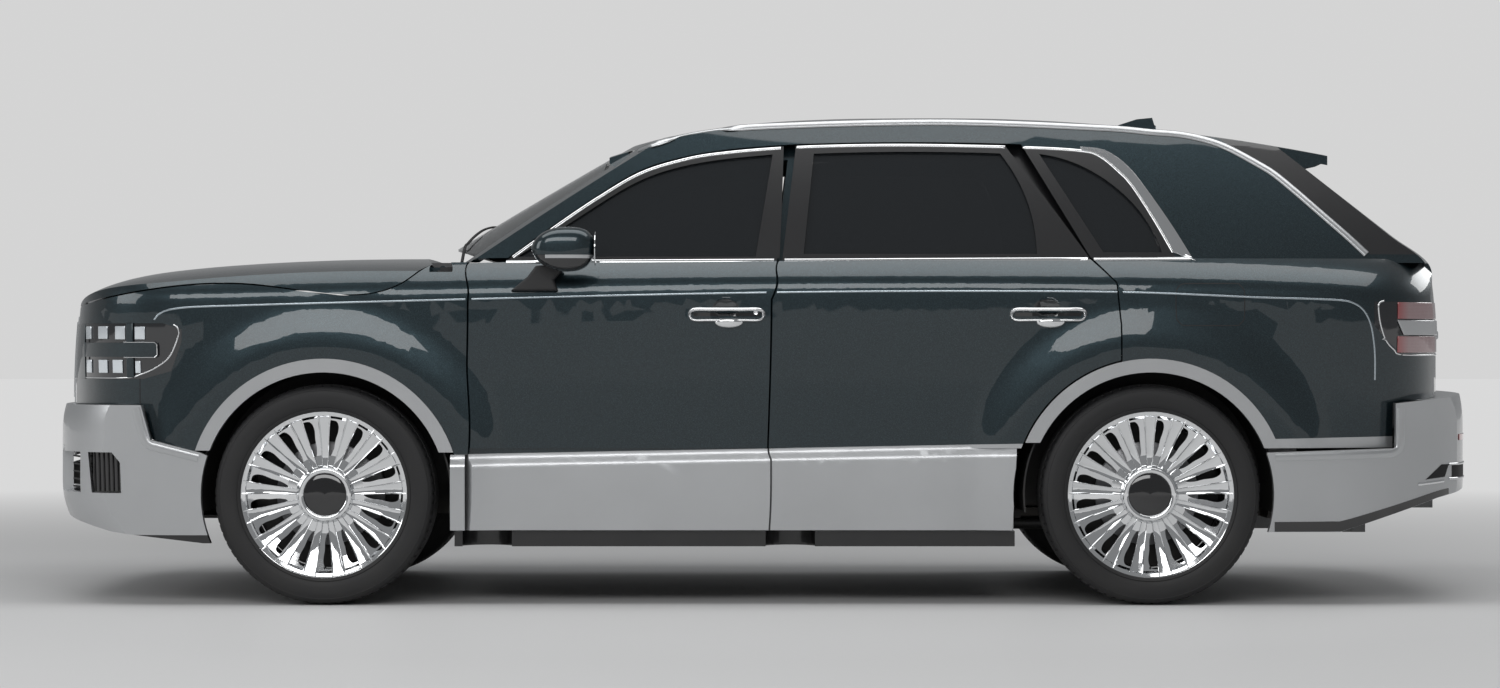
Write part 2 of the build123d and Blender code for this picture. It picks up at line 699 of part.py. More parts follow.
def arch_mouldings():
    def ring(axle, low_front, low_rear):
        slab = sweep(shifted(side_face, y=-6), y=moulding_depth)
        rim = across(axle, axle_z, moulding_radius - seat_gap, -1100, -700)
        rim -= across(axle, axle_z, arch_radius, -1100, -700)
        rim -= box(axle - 600, axle, -1100, -700, 0, low_front) + box(axle, axle + 600, -1100, -700, 0, low_rear)
        return slab & rim
    corner = box(-1112, -1060, -990, -930, sill_z, band_top(-1080) - 1) & sweep(band_face, y=14)
    corner -= hinge_room(front_hinge_x, front_room_top, shut_gap)
    return ring(front_axle, 552, 545.3), ring(rear_axle, 580, 560.3), corner


def floor_pan():
    floor = box(-1105, 2150, -739.7, 739.7, 300, 330)
    floor -= across(rear_axle, axle_z, arch_radius + 20, -1100, -560) + across(rear_axle, axle_z, arch_radius + 20, 560, 1100)
    tunnel = box(-1105, 639.7, -130, 130, 330, 420)
    kick = box(1160, 1180, -555, 555, 330, 560)
    load = box(1160, 2170, -555, 555, 560, 580)
    back = box(2150, 2170, -600, 600, 300, 760) - box(2100, 2200, -580, 580, 331, 420)
    body = floor + tunnel + kick + load + back
    for s in (-1, 1):
        body += box(-2460, -1000, min(s * 326, s * 390), max(s * 326, s * 390), 300, 420) - box(
            front_axle - 160, front_axle + 160, -400, 400, 0, 300)
        body += box(2150, 2500, min(s * 420, s * 480), max(s * 420, s * 480), 480, 560)
    body += box(-2480, -2440, -700, 700, 400, 520) + box(2470, 2505, -690, 690, 480, 600)
    nose, tail = shifted(bumper_room(), x=40.3), shifted(bumper_room(back=True), x=-40.3)
    for s in (-1, 1):
        body += box(-2580, -2470, min(s * 580, s * 640), max(s * 580, s * 640), 420, 500) & nose
        body += box(2490, 2600, min(s * 600, s * 660), max(s * 600, s * 660), 500, 580) & tail
    body += Pos(-2490, -520, 460) * Rot(0, 90, 0) * Cylinder(18, 90)
    body += Pos(2505, 520, 540) * Rot(0, 90, 0) * Cylinder(18, 70)
    body -= Pos(-2505, -520, 460) * Rot(0, 90, 0) * Cylinder(9, 60)
    return body - Pos(2515, 520, 540) * Rot(0, 90, 0) * Cylinder(9, 50)


def inner_wing():
    """Wall between wheel and engine bay, with the rail that the front wing hangs on."""
    inside = shifted(inside_side, y=skin + 4.8) & shifted(behind_nose, x=skin + 4.8)
    rail = box(-2350, -1086, -960, -858, 1030, 1050) & inside
    corner = box(-2350, -2330, -960, -700, 1030, 1050) & inside
    wall = box(-2060, -1086, -866, -858, 847.3, 1035)
    front = box(-2350, -2330, -770, 0, 730, 1050) - box(-2351, -2329, -320, 1, 745, 990)
    return rail + corner + wall + front


def wheel_arch_liners():
    shapes = []
    for axle, inner in ((front_axle, -510), (rear_axle, -560)):
        ring = across(axle, axle_z, arch_radius + 16, -928, inner) - across(axle, axle_z, arch_radius + 10, -928, inner)
        ring -= box(axle - 600, axle + 600, -1100, 0, -100, 330)
        wall = across(axle, axle_z, arch_radius + 16, inner - 6, inner) - box(axle - 600, axle + 600, -1100, 0, -100, 420)
        wall -= box(axle - 80, axle + 80, -1100, 0, 400, 640)
        shapes += both(ring + wall)
    return shapes


def grille():
    frame = grille_room(-seat_gap) & sweep(shifted(nose_face, x=-6), x=60)
    frame -= box(-2700, -2300, -398, 398, 746, 1000)
    back = box(-2700, -2300, -400, 400, 744, 1002) & sweep(shifted(nose_face, x=44), x=10)
    return frame + back


def headlamp():
    hull = headlamp_room(-seat_gap)
    skin_part = (inside_side & behind_nose) - (sweep(shifted(side_face, y=60), y=700) & shifted(behind_nose, x=60))
    back = box(-2440, -2350.3, -760, -520, 850, 950)
    return (hull & skin_part) + back


def tail_lamp():
    hull = lamp_room(-seat_gap)
    part = (sweep(side_face, y=700) & before_tail) - (sweep(shifted(side_face, y=60), y=700) & shifted(before_tail, x=-60))
    return hull & part


# Wheels and what carries them
def tyre():
    half, r = tyre_width / 2, tyre_radius
    profile = [(flange_radius - 8, -96), (flange_radius + 6, -112), (350, -half), (382, -half + 14), (r, -half + 44),
               (r, half - 44), (382, half - 14), (350, half), (flange_radius + 6, 112), (flange_radius - 8, 96)]
    face = Face(Wire.make_polygon([Vector(rad, off, 0) for rad, off in profile], close=True))
    return revolve(face, Axis.Y)


def rim():
    well = [(282, -112), (flange_radius, -116), (flange_radius, -108), (flange_radius - 8.3, -104),
            (flange_radius - 8.3, 104), (flange_radius, 108), (flange_radius, 116), (282, 112), (276, 90), (268, -92)]
    barrel = revolve(Face(Wire.make_polygon([Vector(r, o, 0) for r, o in well], close=True)), Axis.Y)
    dish = [(0, -84), (62, -84), (74, -70), (140, -66), (230, -82), (284, -104), (284, -84), (230, -58), (140, -40),
            (84, -40), (84, -10), (0, -10)]
    disc = revolve(Face(Wire.make_polygon([Vector(r, o, 0) for r, o in dish], close=True)), Axis.Y)
    gap = 2 * pi / 17
    outer, inner = 264, 138
    outline = [(inner, 0), (150, 0.20 * gap), (200, 0.27 * gap), (250, 0.29 * gap), (outer, 0.2 * gap), (outer + 3, 0),
               (outer, -0.2 * gap), (250, -0.29 * gap), (200, -0.27 * gap), (150, -0.20 * gap)]
    edge = Edge.make_spline([Vector(r * cos(a), -150, r * sin(a)) for r, a in outline], periodic=True)
    window = Solid.extrude(Face(Wire([edge])), Vector(0, 140, 0))
    disc -= [window.rotate(Axis.Y, 360 * i / 17) for i in range(17)]
    rotor = across(0, 0, 185, 18, 40) + across(0, 0, 70, -12, 20)
    return barrel + disc + rotor


def knuckle(x, y):
    hub = across(x, axle_z, 45, y + 40.3, y + 110)
    post = upright(x, y + 95, 25, axle_z - 150, axle_z + 190)
    arm = box(x + 20, x + 130, y + 80, y + 110, axle_z - 40, axle_z - 10)
    caliper = across(x, axle_z, 205, y + 8, y + 60) - across(x, axle_z, 120, y + 8, y + 60)
    caliper &= box(x + 60, x + 230, -1200, 1200, axle_z - 90, axle_z + 90)
    caliper -= across(x, axle_z, 192, y + 12, y + 46)
    caliper += box(x + 20, x + 120, y + 70, y + 100, axle_z - 30, axle_z + 30) + box(x + 100, x + 125, y + 50, y + 100, axle_z - 30, axle_z + 30)
    return hub + post + arm + caliper


def front_suspension():
    parts = [box(front_axle - 150, front_axle + 150, -380, 380, 230, 299.7), box(front_axle - 60, front_axle + 60, -90, 90, 270, 329.7)]
    for s in (-1, 1):
        lower = box(front_axle - 40, front_axle + 40, min(s * 370, s * 775), max(s * 370, s * 775), 226, 243.7)
        upper = box(front_axle - 26, front_axle + 26, min(s * 330, s * 775), max(s * 330, s * 775), 584.3, 600)
        strut = upright(front_axle, s * 455, 36, 236, 760)
        parts += [lower, upper, strut]
    whole = parts[0]
    for p in parts[1:]:
        whole += p
    return whole


def rear_suspension():
    whole = box(rear_axle - 160, rear_axle + 160, -400, 400, 264, 299.7)
    for s in (-1, 1):
        whole += box(rear_axle - 45, rear_axle + 45, min(s * 390, s * 700), max(s * 390, s * 700), 264, 288)
        whole += box(rear_axle - 45, rear_axle + 45, min(s * 680, s * 730), max(s * 680, s * 730), 264, 540)
        whole += across(rear_axle, axle_z, 42, s * 690, s * 809.7)
    return whole


# Inside and under the body
def front_seat(y):
    cushion = box(-330, 170, y - 255, y + 255, 520, 640)
    base = box(-280, 130, y - 200, y + 200, 330, 520)
    back = Pos(190, y, 905) * Rot(0, 16, 0) * Box(120, 500, 620)
    head = Pos(280, y, 1270) * Rot(0, 16, 0) * Box(90, 260, 170)
    return cushion + base + back + head


def rear_seat():
    cushion = box(600, 920, -640, 640, 520, 650) + box(920, 1090, -550, 550, 520, 650)
    cushion += box(640, 880, -600, 600, 330.3, 520) + box(900.3, 1070, -550, 550, 330.3, 520)
    back = Pos(1130, 0, 905) * Rot(0, 20, 0) * Box(130, 1100, 600)
    heads = [Pos(1240, y, 1270) * Rot(0, 20, 0) * Box(80, 260, 160) for y in (-380, 380)]
    return cushion + back + heads[0] + heads[1]


def dashboard():
    top = box(-1080, -760, -740, 740, 860, 1120)
    top -= Pos(-740, 0, 860) * Rot(0, 45, 0) * Box(200, 1500, 200)
    console = box(-760, 240, -120, 120, 420, 700) - box(-760, 240, -200, 200, 330, 420.3)
    column = Pos(*wheel_hub) * Rot(0, 90 - steer_tilt, 0) * Pos(0, 0, -147.7) * Cylinder(30, 190)
    return top + console + column


def engine():
    return box(-2080, -1350, -300, 300, 330, 900)


def exhaust():
    whole = Pos(380, 230, 234) * Rot(0, 90, 0) * Cylinder(24, 2800)
    whole += box(1750, 2150, -300, 300, 240, 299.7) + box(300, 900, 130, 330, 214, 299.7)
    for s in (-1, 1):
        whole += box(2140, 2200, min(s * 280, s * 560), max(s * 280, s * 560), 240, 290)
        whole += box(2172, 2222, s * 520 - 45, s * 520 + 45, 240, 400)
        whole += box(2172, 2470, s * 520 - 45, s * 520 + 45, 330, 400)
    return whole


def undertray():
    return box(-2440, -1745, -500, 500, 288, 299.6)


def steering_wheel():
    ring = Torus(178, 15)
    hub = Pos(0, 0, -20.2) * Cylinder(55, 64.4)
    spokes = box(-175, 175, -18, 18, -14, 4) + box(-14, 14, -175, 0, -14, 4)
    return Pos(*wheel_hub) * Rot(0, 90 - steer_tilt, 0) * (ring + hub + spokes)


def mirror_body(door):
    """Door mirror: rounded housing on a foot that stands on the shoulder of the door."""
    housing = Pos(-704, -1034, 1267) * Box(230, mirror_width, 162)
    housing = fillet(housing.edges(), 52)
    foot = side_prism(*closed([(-898, 1118), (-724, 1118), (-742, 1160), (-700, 1205), (-810, 1205), (-836, 1172)]),
                      near=-870, out=-1010)
    whole = housing + foot
    whole -= shifted(door, y=-0.8, z=0.8)
    return max(whole.solids(), key=lambda piece: piece.volume)


def glass_set():
    return {
        "front_door_glass_left": pane(front_window(-0.5)),
        "rear_door_glass_left": pane(rear_window_cut(-0.5)),
        "quarter_windows": pane(quarter_window(-0.5)),
    }


# Save every node
def nodes():
    doors = front_door(), rear_door()
    glass = glass_set()
    mirror = mirror_body(doors[0])
    side = side_frame()
    front_track = track / 2
    found = {
        "floor_pan": floor_pan(),
        "inner_wings": inner_wing() + mirrored(inner_wing()),
        "side_frames": both(side),
        "roof_panel": roof_panel(),
        "scuttle": scuttle(),
        "front_fenders": both(fender()),
        "front_bumper": front_bumper(),
        "rear_bumper": rear_bumper(),
        "arch_mouldings": [both(s) for s in solids_of(arch_mouldings())],
        "wheel_arch_liners": wheel_arch_liners(),
        "grille": grille(),
        "headlamps": both(headlamp()),
        "tail_lamps": both(tail_lamp()),
        "windscreen": windscreen(),
        "quarter_windows": both(glass["quarter_windows"]),
        "dashboard": dashboard(),
        "front_seats": [front_seat(-380), front_seat(380)],
        "rear_seat": rear_seat(),
        "engine": engine(),
        "front_suspension": front_suspension(),
        "rear_suspension": rear_suspension(),
        "exhaust": exhaust(),
        "undertray": undertray(),
        "bonnet": bonnet(),
        "tailgate": tailgate(),
        "rear_window": rear_window(),
        "steering_wheel": steering_wheel(),
        "front_door_left": doors[0],
        "front_door_right": mirrored(doors[0]),
        "rear_door_left": doors[1],
        "rear_door_right": mirrored(doors[1]),
        "front_door_glass_left": glass["front_door_glass_left"],
        "front_door_glass_right": mirrored(glass["front_door_glass_left"]),
        "rear_door_glass_left": glass["rear_door_glass_left"],
        "rear_door_glass_right": mirrored(glass["rear_door_glass_left"]),
        "mirror_left": mirror,
        "mirror_right": mirrored(mirror),
        "knuckle_left": knuckle(front_axle, -front_track),
    }
    found["knuckle_right"] = mirrored(found["knuckle_left"])
    one_rim, one_tyre = rim(), tyre()
    for end, axle in (("front", front_axle), ("rear", rear_axle)):
        place = Location((axle, -front_track, axle_z))
        for name, shape in (("rim", one_rim), ("tyre", one_tyre)):
            found[f"{end}_{name}_left"] = shape.moved(place)
            found[f"{end}_{name}_right"] = mirrored(shape.moved(place))
    return found


if __name__ == "__main__":
    os.makedirs("parts", exist_ok=True)
    for name, shape in nodes().items():
        save(name, shape)
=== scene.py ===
"""Luxury crossover: finishes, trim, lamps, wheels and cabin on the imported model."""
import math

import bmesh
import bpy
from mathutils import Matrix, Vector
from mathutils.bvhtree import BVHTree


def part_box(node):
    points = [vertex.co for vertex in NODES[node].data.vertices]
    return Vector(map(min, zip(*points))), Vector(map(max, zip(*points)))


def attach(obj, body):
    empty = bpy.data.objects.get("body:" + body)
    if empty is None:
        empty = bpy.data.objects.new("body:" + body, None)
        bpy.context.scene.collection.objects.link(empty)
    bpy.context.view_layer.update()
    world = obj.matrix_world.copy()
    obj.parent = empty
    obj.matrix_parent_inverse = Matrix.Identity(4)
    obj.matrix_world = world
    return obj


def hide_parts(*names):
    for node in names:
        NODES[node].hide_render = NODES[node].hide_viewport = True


bl_info = {
    "name": "Luxury crossover",
    "version": (1, 0, 0),
    "blender": (4, 5, 0),
    "location": "View3D > Sidebar > Crossover",
    "description": "Dresses the packed crossover model with finishes, trim, lamps, wheels and cabin",
    "category": "Object",
}

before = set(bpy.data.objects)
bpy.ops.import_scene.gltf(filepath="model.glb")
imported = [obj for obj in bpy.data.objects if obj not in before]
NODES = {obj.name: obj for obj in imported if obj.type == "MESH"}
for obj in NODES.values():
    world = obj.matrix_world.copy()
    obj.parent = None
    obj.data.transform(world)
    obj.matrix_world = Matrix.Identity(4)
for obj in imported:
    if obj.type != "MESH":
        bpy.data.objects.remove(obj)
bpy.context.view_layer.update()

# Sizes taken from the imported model
FRONT_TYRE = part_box("front_tyre_left")
REAR_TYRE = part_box("rear_tyre_left")
FRONT_AXLE = (FRONT_TYRE[0].x + FRONT_TYRE[1].x) / 2
REAR_AXLE = (REAR_TYRE[0].x + REAR_TYRE[1].x) / 2
AXLE_Z = (FRONT_TYRE[0].z + FRONT_TYRE[1].z) / 2
TRACK_Y = -(FRONT_TYRE[0].y + FRONT_TYRE[1].y) / 2
SILL_Z = 0.267
BELT_Z = 1.236
SIDES = (("left", -1), ("right", 1))
ENDS = (("front", FRONT_AXLE), ("rear", REAR_AXLE))
BACKGROUND = (0.66, 0.66, 0.66, 1)


# Shader helpers

class Maker:
    """Adds nodes to a tree and links them."""

    def __init__(self, tree):
        self.tree = tree

    def node(self, kind, **values):
        made = self.tree.nodes.new(kind)
        for key, value in values.items():
            setattr(made, key, value)
        return made

    def put(self, socket, value):
        if isinstance(value, bpy.types.NodeSocket):
            self.tree.links.new(value, socket)
        elif value is not None:
            socket.default_value = value

    def math(self, operation, a, b=None, clamp=False):
        made = self.node("ShaderNodeMath", operation=operation, use_clamp=clamp)
        self.put(made.inputs[0], a)
        self.put(made.inputs[1], b)
        return made.outputs[0]

    def mix(self, share, a, b):
        made = self.node("ShaderNodeMix", data_type="RGBA")
        self.put(made.inputs["Factor"], share)
        self.put(made.inputs[6], a)
        self.put(made.inputs[7], b)
        return made.outputs[2]

    def blend(self, share, a, b):
        made = self.node("ShaderNodeMix", data_type="FLOAT")
        self.put(made.inputs["Factor"], share)
        self.put(made.inputs[2], a)
        self.put(made.inputs[3], b)
        return made.outputs[0]

    def ramp(self, value, low, high):
        made = self.node("ShaderNodeMapRange")
        self.put(made.inputs["Value"], value)
        self.put(made.inputs["From Min"], low)
        self.put(made.inputs["From Max"], high)
        return made.outputs[0]

    def place(self):
        return self.node("ShaderNodeTexCoord").outputs["Object"]

    def split(self, vector):
        made = self.node("ShaderNodeSeparateXYZ")
        self.put(made.inputs[0], vector)
        return made.outputs

    def noise(self, vector, scale, detail=3.0):
        made = self.node("ShaderNodeTexNoise")
        self.put(made.inputs["Vector"], vector)
        self.put(made.inputs["Scale"], scale)
        self.put(made.inputs["Detail"], detail)
        return made.outputs["Fac"]


def colour(rgb):
    return (*rgb, 1.0)


def group(name, inputs, outputs):
    tree = bpy.data.node_groups.new(name, "ShaderNodeTree")
    for label, kind, default in inputs:
        socket = tree.interface.new_socket(label, in_out="INPUT", socket_type=kind)
        socket.default_value = default
    for label, kind in outputs:
        tree.interface.new_socket(label, in_out="OUTPUT", socket_type=kind)
    maker = Maker(tree)
    return maker, maker.node("NodeGroupInput").outputs, maker.node("NodeGroupOutput").inputs


def make_groups():
    """Shared effects: tone variation, surface grain, road dust and metal flake."""
    maker, given, out = group("Tone variation", [("Colour", "NodeSocketColor", (0.5, 0.5, 0.5, 1)),
                                                 ("Scale", "NodeSocketFloat", 8.0), ("Amount", "NodeSocketFloat", 0.1)],
                              [("Colour", "NodeSocketColor")])
    value = maker.noise(maker.place(), given["Scale"], 4.0)
    share = maker.math("MULTIPLY", maker.ramp(value, 0.35, 0.65), given["Amount"])
    maker.put(out["Colour"], maker.mix(share, given["Colour"], (0.0, 0.0, 0.0, 1)))

    maker, given, out = group("Surface grain",
                              [("Scale", "NodeSocketFloat", 400.0), ("Strength", "NodeSocketFloat", 0.1)],
                              [("Normal", "NodeSocketVector")])
    bump = maker.node("ShaderNodeBump")
    bump.inputs["Distance"].default_value = 0.001
    maker.put(bump.inputs["Strength"], given["Strength"])
    maker.put(bump.inputs["Height"], maker.noise(maker.place(), given["Scale"], 2.0))
    maker.put(out["Normal"], bump.outputs[0])

    maker, given, out = group("Road dust", [("Colour", "NodeSocketColor", (0.5, 0.5, 0.5, 1)),
                                            ("Roughness", "NodeSocketFloat", 0.3), ("Height", "NodeSocketFloat", 0.5),
                                            ("Amount", "NodeSocketFloat", 0.1)],
                              [("Colour", "NodeSocketColor"), ("Roughness", "NodeSocketFloat")])
    place = maker.place()
    low = maker.math("SUBTRACT", 1.0, maker.ramp(maker.split(place)["Z"], 0.0, given["Height"]))
    patch = maker.ramp(maker.noise(place, 7.0, 5.0), 0.3, 0.75)
    share = maker.math("MULTIPLY", maker.math("MULTIPLY", low, patch), given["Amount"], clamp=True)
    maker.put(out["Colour"], maker.mix(share, given["Colour"], (0.19, 0.17, 0.145, 1)))
    maker.put(out["Roughness"], maker.blend(share, given["Roughness"], 0.8))

    maker, given, out = group("Metal flake", [("Colour", "NodeSocketColor", (0.1, 0.1, 0.1, 1)),
                                              ("Flake", "NodeSocketColor", (0.3, 0.3, 0.3, 1)),
                                              ("Scale", "NodeSocketFloat", 900.0), ("Amount", "NodeSocketFloat", 0.3)],
                              [("Colour", "NodeSocketColor"), ("Normal", "NodeSocketVector")])
    cells = maker.node("ShaderNodeTexVoronoi")
    maker.put(cells.inputs["Vector"], maker.place())
    maker.put(cells.inputs["Scale"], given["Scale"])
    bright = maker.ramp(maker.split(cells.outputs["Color"])["X"], 0.55, 1.0)
    share = maker.math("MULTIPLY", bright, given["Amount"])
    maker.put(out["Colour"], maker.mix(share, given["Colour"], given["Flake"]))
    bump = maker.node("ShaderNodeBump")
    bump.inputs["Distance"].default_value = 0.0002
    bump.inputs["Strength"].default_value = 0.12
    maker.put(bump.inputs["Height"], cells.outputs["Distance"])
    maker.put(out["Normal"], bump.outputs[0])


def use_group(maker, name, **values):
    made = maker.node("ShaderNodeGroup")
    made.node_tree = bpy.data.node_groups[name]
    for key, value in values.items():
        maker.put(made.inputs[key], value)
    return made.outputs


def finish(name, base, rough=0.4, metal=0.0, coat=0.0, grain=0.0, grain_scale=500.0, vary=0.12, vary_scale=6.0,
           dust=0.0, dust_height=0.7, alpha=1.0, transmission=0.0, sheen=0.0, glow=None):
    """Material with tone variation, grain and road dust over a base colour."""
    if name in bpy.data.materials:
        return bpy.data.materials[name]
    made = bpy.data.materials.new(name)
    made.use_nodes = True
    maker = Maker(made.node_tree)
    shader = made.node_tree.nodes["Principled BSDF"]
    tone = use_group(maker, "Tone variation", Colour=colour(base), Scale=vary_scale, Amount=vary)["Colour"]
    if dust:
        low = use_group(maker, "Road dust", Colour=tone, Roughness=rough, Height=dust_height, Amount=dust)
        maker.put(shader.inputs["Base Color"], low["Colour"])
        maker.put(shader.inputs["Roughness"], low["Roughness"])
    else:
        maker.put(shader.inputs["Base Color"], tone)
        shader.inputs["Roughness"].default_value = rough
    shader.inputs["Metallic"].default_value = metal
    shader.inputs["Coat Weight"].default_value = coat
    shader.inputs["Coat Roughness"].default_value = 0.03
    shader.inputs["Alpha"].default_value = alpha
    shader.inputs["Transmission Weight"].default_value = transmission
    shader.inputs["Sheen Weight"].default_value = sheen
    if grain:
        maker.put(shader.inputs["Normal"],
                  use_group(maker, "Surface grain", Scale=grain_scale, Strength=grain)["Normal"])
    if glow:
        shader.inputs["Emission Color"].default_value = colour(glow)
        shader.inputs["Emission Strength"].default_value = 1.0
    return made


def two_tone(name, pick):
    """Body finish: metallic paint, with satin silver or black where pick says, from the place on the body."""
    if name in bpy.data.materials:
        return bpy.data.materials[name]
    look = bpy.context.scene.crossover_look
    made = bpy.data.materials.new(name)
    made.use_nodes = True
    maker = Maker(made.node_tree)
    shader = made.node_tree.nodes["Principled BSDF"]
    place = maker.split(maker.place())
    silver, black = pick(maker, place["X"], place["Y"], place["Z"])
    flake = use_group(maker, "Metal flake", Colour=colour(look.paint), Flake=colour(look.flake), Amount=0.35)
    toned = use_group(maker, "Tone variation", Colour=colour(look.silver), Scale=3.0, Amount=0.05)["Colour"]
    base = maker.mix(silver, flake["Colour"], toned)
    base = maker.mix(black, base, colour(look.trim_black))
    rough = maker.blend(silver, 0.34, 0.36)
    rough = maker.blend(black, rough, 0.28)
    low = use_group(maker, "Road dust", Colour=base, Roughness=rough, Height=0.55, Amount=0.06)
    maker.put(shader.inputs["Base Color"], low["Colour"])
    maker.put(shader.inputs["Roughness"], low["Roughness"])
    metal = maker.blend(silver, 0.82, 0.78)
    maker.put(shader.inputs["Metallic"], maker.blend(black, metal, 0.0))
    maker.put(shader.inputs["Coat Weight"], maker.blend(silver, 1.0, 0.55))
    shader.inputs["Coat Roughness"].default_value = 0.02
    maker.put(shader.inputs["Normal"], flake["Normal"])
    return made


def all_paint(maker, x, y, z):
    return 0.0, 0.0


def band_below(maker, x, y, z):
    """Silver under the band's top line."""
    line = maker.math("ADD", maker.math("MULTIPLY", x, 0.019), 0.5585)
    return maker.math("LESS_THAN", z, line), maker.math("LESS_THAN", z, SILL_Z - 0.004)


def side_zones(maker, x, y, z):
    """Silver sill, black around the rear side glass and behind the roof strip."""
    silver, low = band_below(maker, x, y, z)

    def beyond(at_x, at_z, fall):
        line = maker.math("ADD", maker.math("MULTIPLY", maker.math("SUBTRACT", at_z, z), fall), at_x)
        return maker.math("GREATER_THAN", x, line)

    above = maker.math("GREATER_THAN", z, 1.234)
    under_rail = maker.math("MULTIPLY", above, maker.math("LESS_THAN", z, 1.643))
    glass = maker.math("SUBTRACT", 1.0, maker.math("MAXIMUM", beyond(1.231, 1.616, 1.009), beyond(1.348, 1.500, 0.557)))
    glass = maker.math("MULTIPLY", maker.math("MULTIPLY", glass, maker.math("GREATER_THAN", x, 0.86)), under_rail)
    tail = maker.math("MULTIPLY", maker.math("GREATER_THAN", z, 1.257),
                      maker.math("MAXIMUM", beyond(1.730, 1.645, 1.4375), beyond(1.960, 1.485, 1.07)))
    return silver, maker.math("MAXIMUM", maker.math("MAXIMUM", glass, tail), low)


def gate_zones(maker, x, y, z):
    """Black surround of the rear glass."""
    under = maker.math("ADD", z, maker.math("MULTIPLY", maker.math("SUBTRACT", x, 1.80), 0.185))
    tall = maker.math("MULTIPLY", maker.math("GREATER_THAN", z, 1.257), maker.math("LESS_THAN", under, 1.635))
    return 0.0, tall


def door_zones(maker, x, y, z):
    """Silver band below, black frames beside the glass and inside the door."""
    silver, low = band_below(maker, x, y, z)
    frames = maker.math("GREATER_THAN", z, BELT_Z - 0.004)
    inner = maker.math("LESS_THAN", maker.math("ABSOLUTE", y), 0.872)
    low_inner = maker.math("MULTIPLY", inner, maker.math("LESS_THAN", z, 1.19))
    return silver, maker.math("MAXIMUM", maker.math("MAXIMUM", frames, low), low_inner)


def bumper_zones(maker, x, y, z):
    """Silver bumper with a black lower lip."""
    lip = maker.math("ADD", maker.math("MULTIPLY", maker.math("ABSOLUTE", y), -0.05), 0.30)
    return 1.0, maker.math("LESS_THAN", z, lip)


# Mesh helpers

def add_piece(name, bm, material, body, smooth=40.0, replaces=()):
    """Object from a bmesh, in place, riding on a body."""
    bmesh.ops.recalc_face_normals(bm, faces=bm.faces)
    mesh = bpy.data.meshes.new(name)
    bm.to_mesh(mesh)
    bm.free()
    made = bpy.data.objects.new(name, mesh)
    bpy.context.scene.collection.objects.link(made)
    materials = material if isinstance(material, (list, tuple)) else [material]
    for item in materials:
        mesh.materials.append(item)
    mesh.shade_smooth()
    if smooth:
        mesh.set_sharp_from_angle(angle=math.radians(smooth))
    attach(made, body)
    if replaces:
        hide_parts(*replaces)
    return made


def modify(piece, kind, **values):
    made = piece.modifiers.new(kind.title(), kind)
    for key, value in values.items():
        setattr(made, key, value)
    return made


def add_box(bm, low, high, bevel=0.0, segments=2):
    """Box between two corners with rounded edges."""
    low, high = Vector(low), Vector(high)
    size, middle = high - low, (low + high) / 2
    made = bmesh.ops.create_cube(bm, size=1.0)["verts"]
    bmesh.ops.scale(bm, vec=size, verts=made)
    bmesh.ops.translate(bm, vec=middle, verts=made)
    if bevel:
        edges = list({edge for vert in made for edge in vert.link_edges})
        bmesh.ops.bevel(bm, geom=edges, offset=bevel, segments=segments, affect="EDGES", profile=0.5, material=-1)
    return made


def add_ring(bm, profile, centre, axis="Y", steps=64):
    """Solid of revolution: profile is a closed loop of radius and offset along the axis."""
    verts = [bm.verts.new(Vector((centre[0] + r, centre[1] + o, centre[2]))) for r, o in profile]
    edges = [bm.edges.new((verts[i], verts[(i + 1) % len(verts)])) for i in range(len(verts))]
    bmesh.ops.spin(bm, geom=verts + edges, cent=centre, axis=Vector((0, 1, 0)), angle=2 * math.pi, steps=steps,
                   use_merge=True)
    bmesh.ops.remove_doubles(bm, verts=bm.verts, dist=1e-6)


def frames_along(points, normals):
    """Turning frames for a path: each is tangent, side and outward direction at a point."""
    found = []
    for i, point in enumerate(points):
        before, after = points[max(i - 1, 0)], points[min(i + 1, len(points) - 1)]
        tangent = (after - before).normalized()
        normal = (normals[i] - tangent * normals[i].dot(tangent)).normalized()
        side = normal.cross(tangent)
        found.append(Matrix((side, normal, tangent)).transposed().to_4x4())
        found[-1].translation = point
    return found


def add_strip(bm, profile, places):
    """Sweeps a closed profile, across and outward, along frames."""
    ring = [bm.verts.new(places[0] @ Vector((a, b, 0))) for a, b in profile]
    edges = [bm.edges.new((ring[i], ring[(i + 1) % len(ring)])) for i in range(len(ring))]
    bmesh.ops.contextual_create(bm, geom=edges)
    for i in range(1, len(places)):
        grown = bmesh.ops.extrude_edge_only(bm, edges=edges)["geom"]
        verts = [item for item in grown if isinstance(item, bmesh.types.BMVert)]
        edges = [item for item in grown if isinstance(item, bmesh.types.BMEdge)
                 and item.verts[0] in verts and item.verts[1] in verts]
        bmesh.ops.transform(bm, matrix=places[i] @ places[i - 1].inverted(), verts=verts)
    bmesh.ops.contextual_create(bm, geom=edges)


def smooth_path(points, steps=8):
    """Points on a smooth line through the given ones."""
    found = []
    count = len(points)
    for i in range(count - 1):
        p0, p1 = Vector(points[max(i - 1, 0)]), Vector(points[i])
        p2, p3 = Vector(points[i + 1]), Vector(points[min(i + 2, count - 1)])
        for k in range(steps):
            t = k / steps
            found.append(0.5 * ((2 * p1) + (p2 - p0) * t + (2 * p0 - 5 * p1 + 4 * p2 - p3) * t ** 2
                                + (3 * p1 - p0 - 3 * p2 + p3) * t ** 3))
    found.append(Vector(points[-1]))
    return found


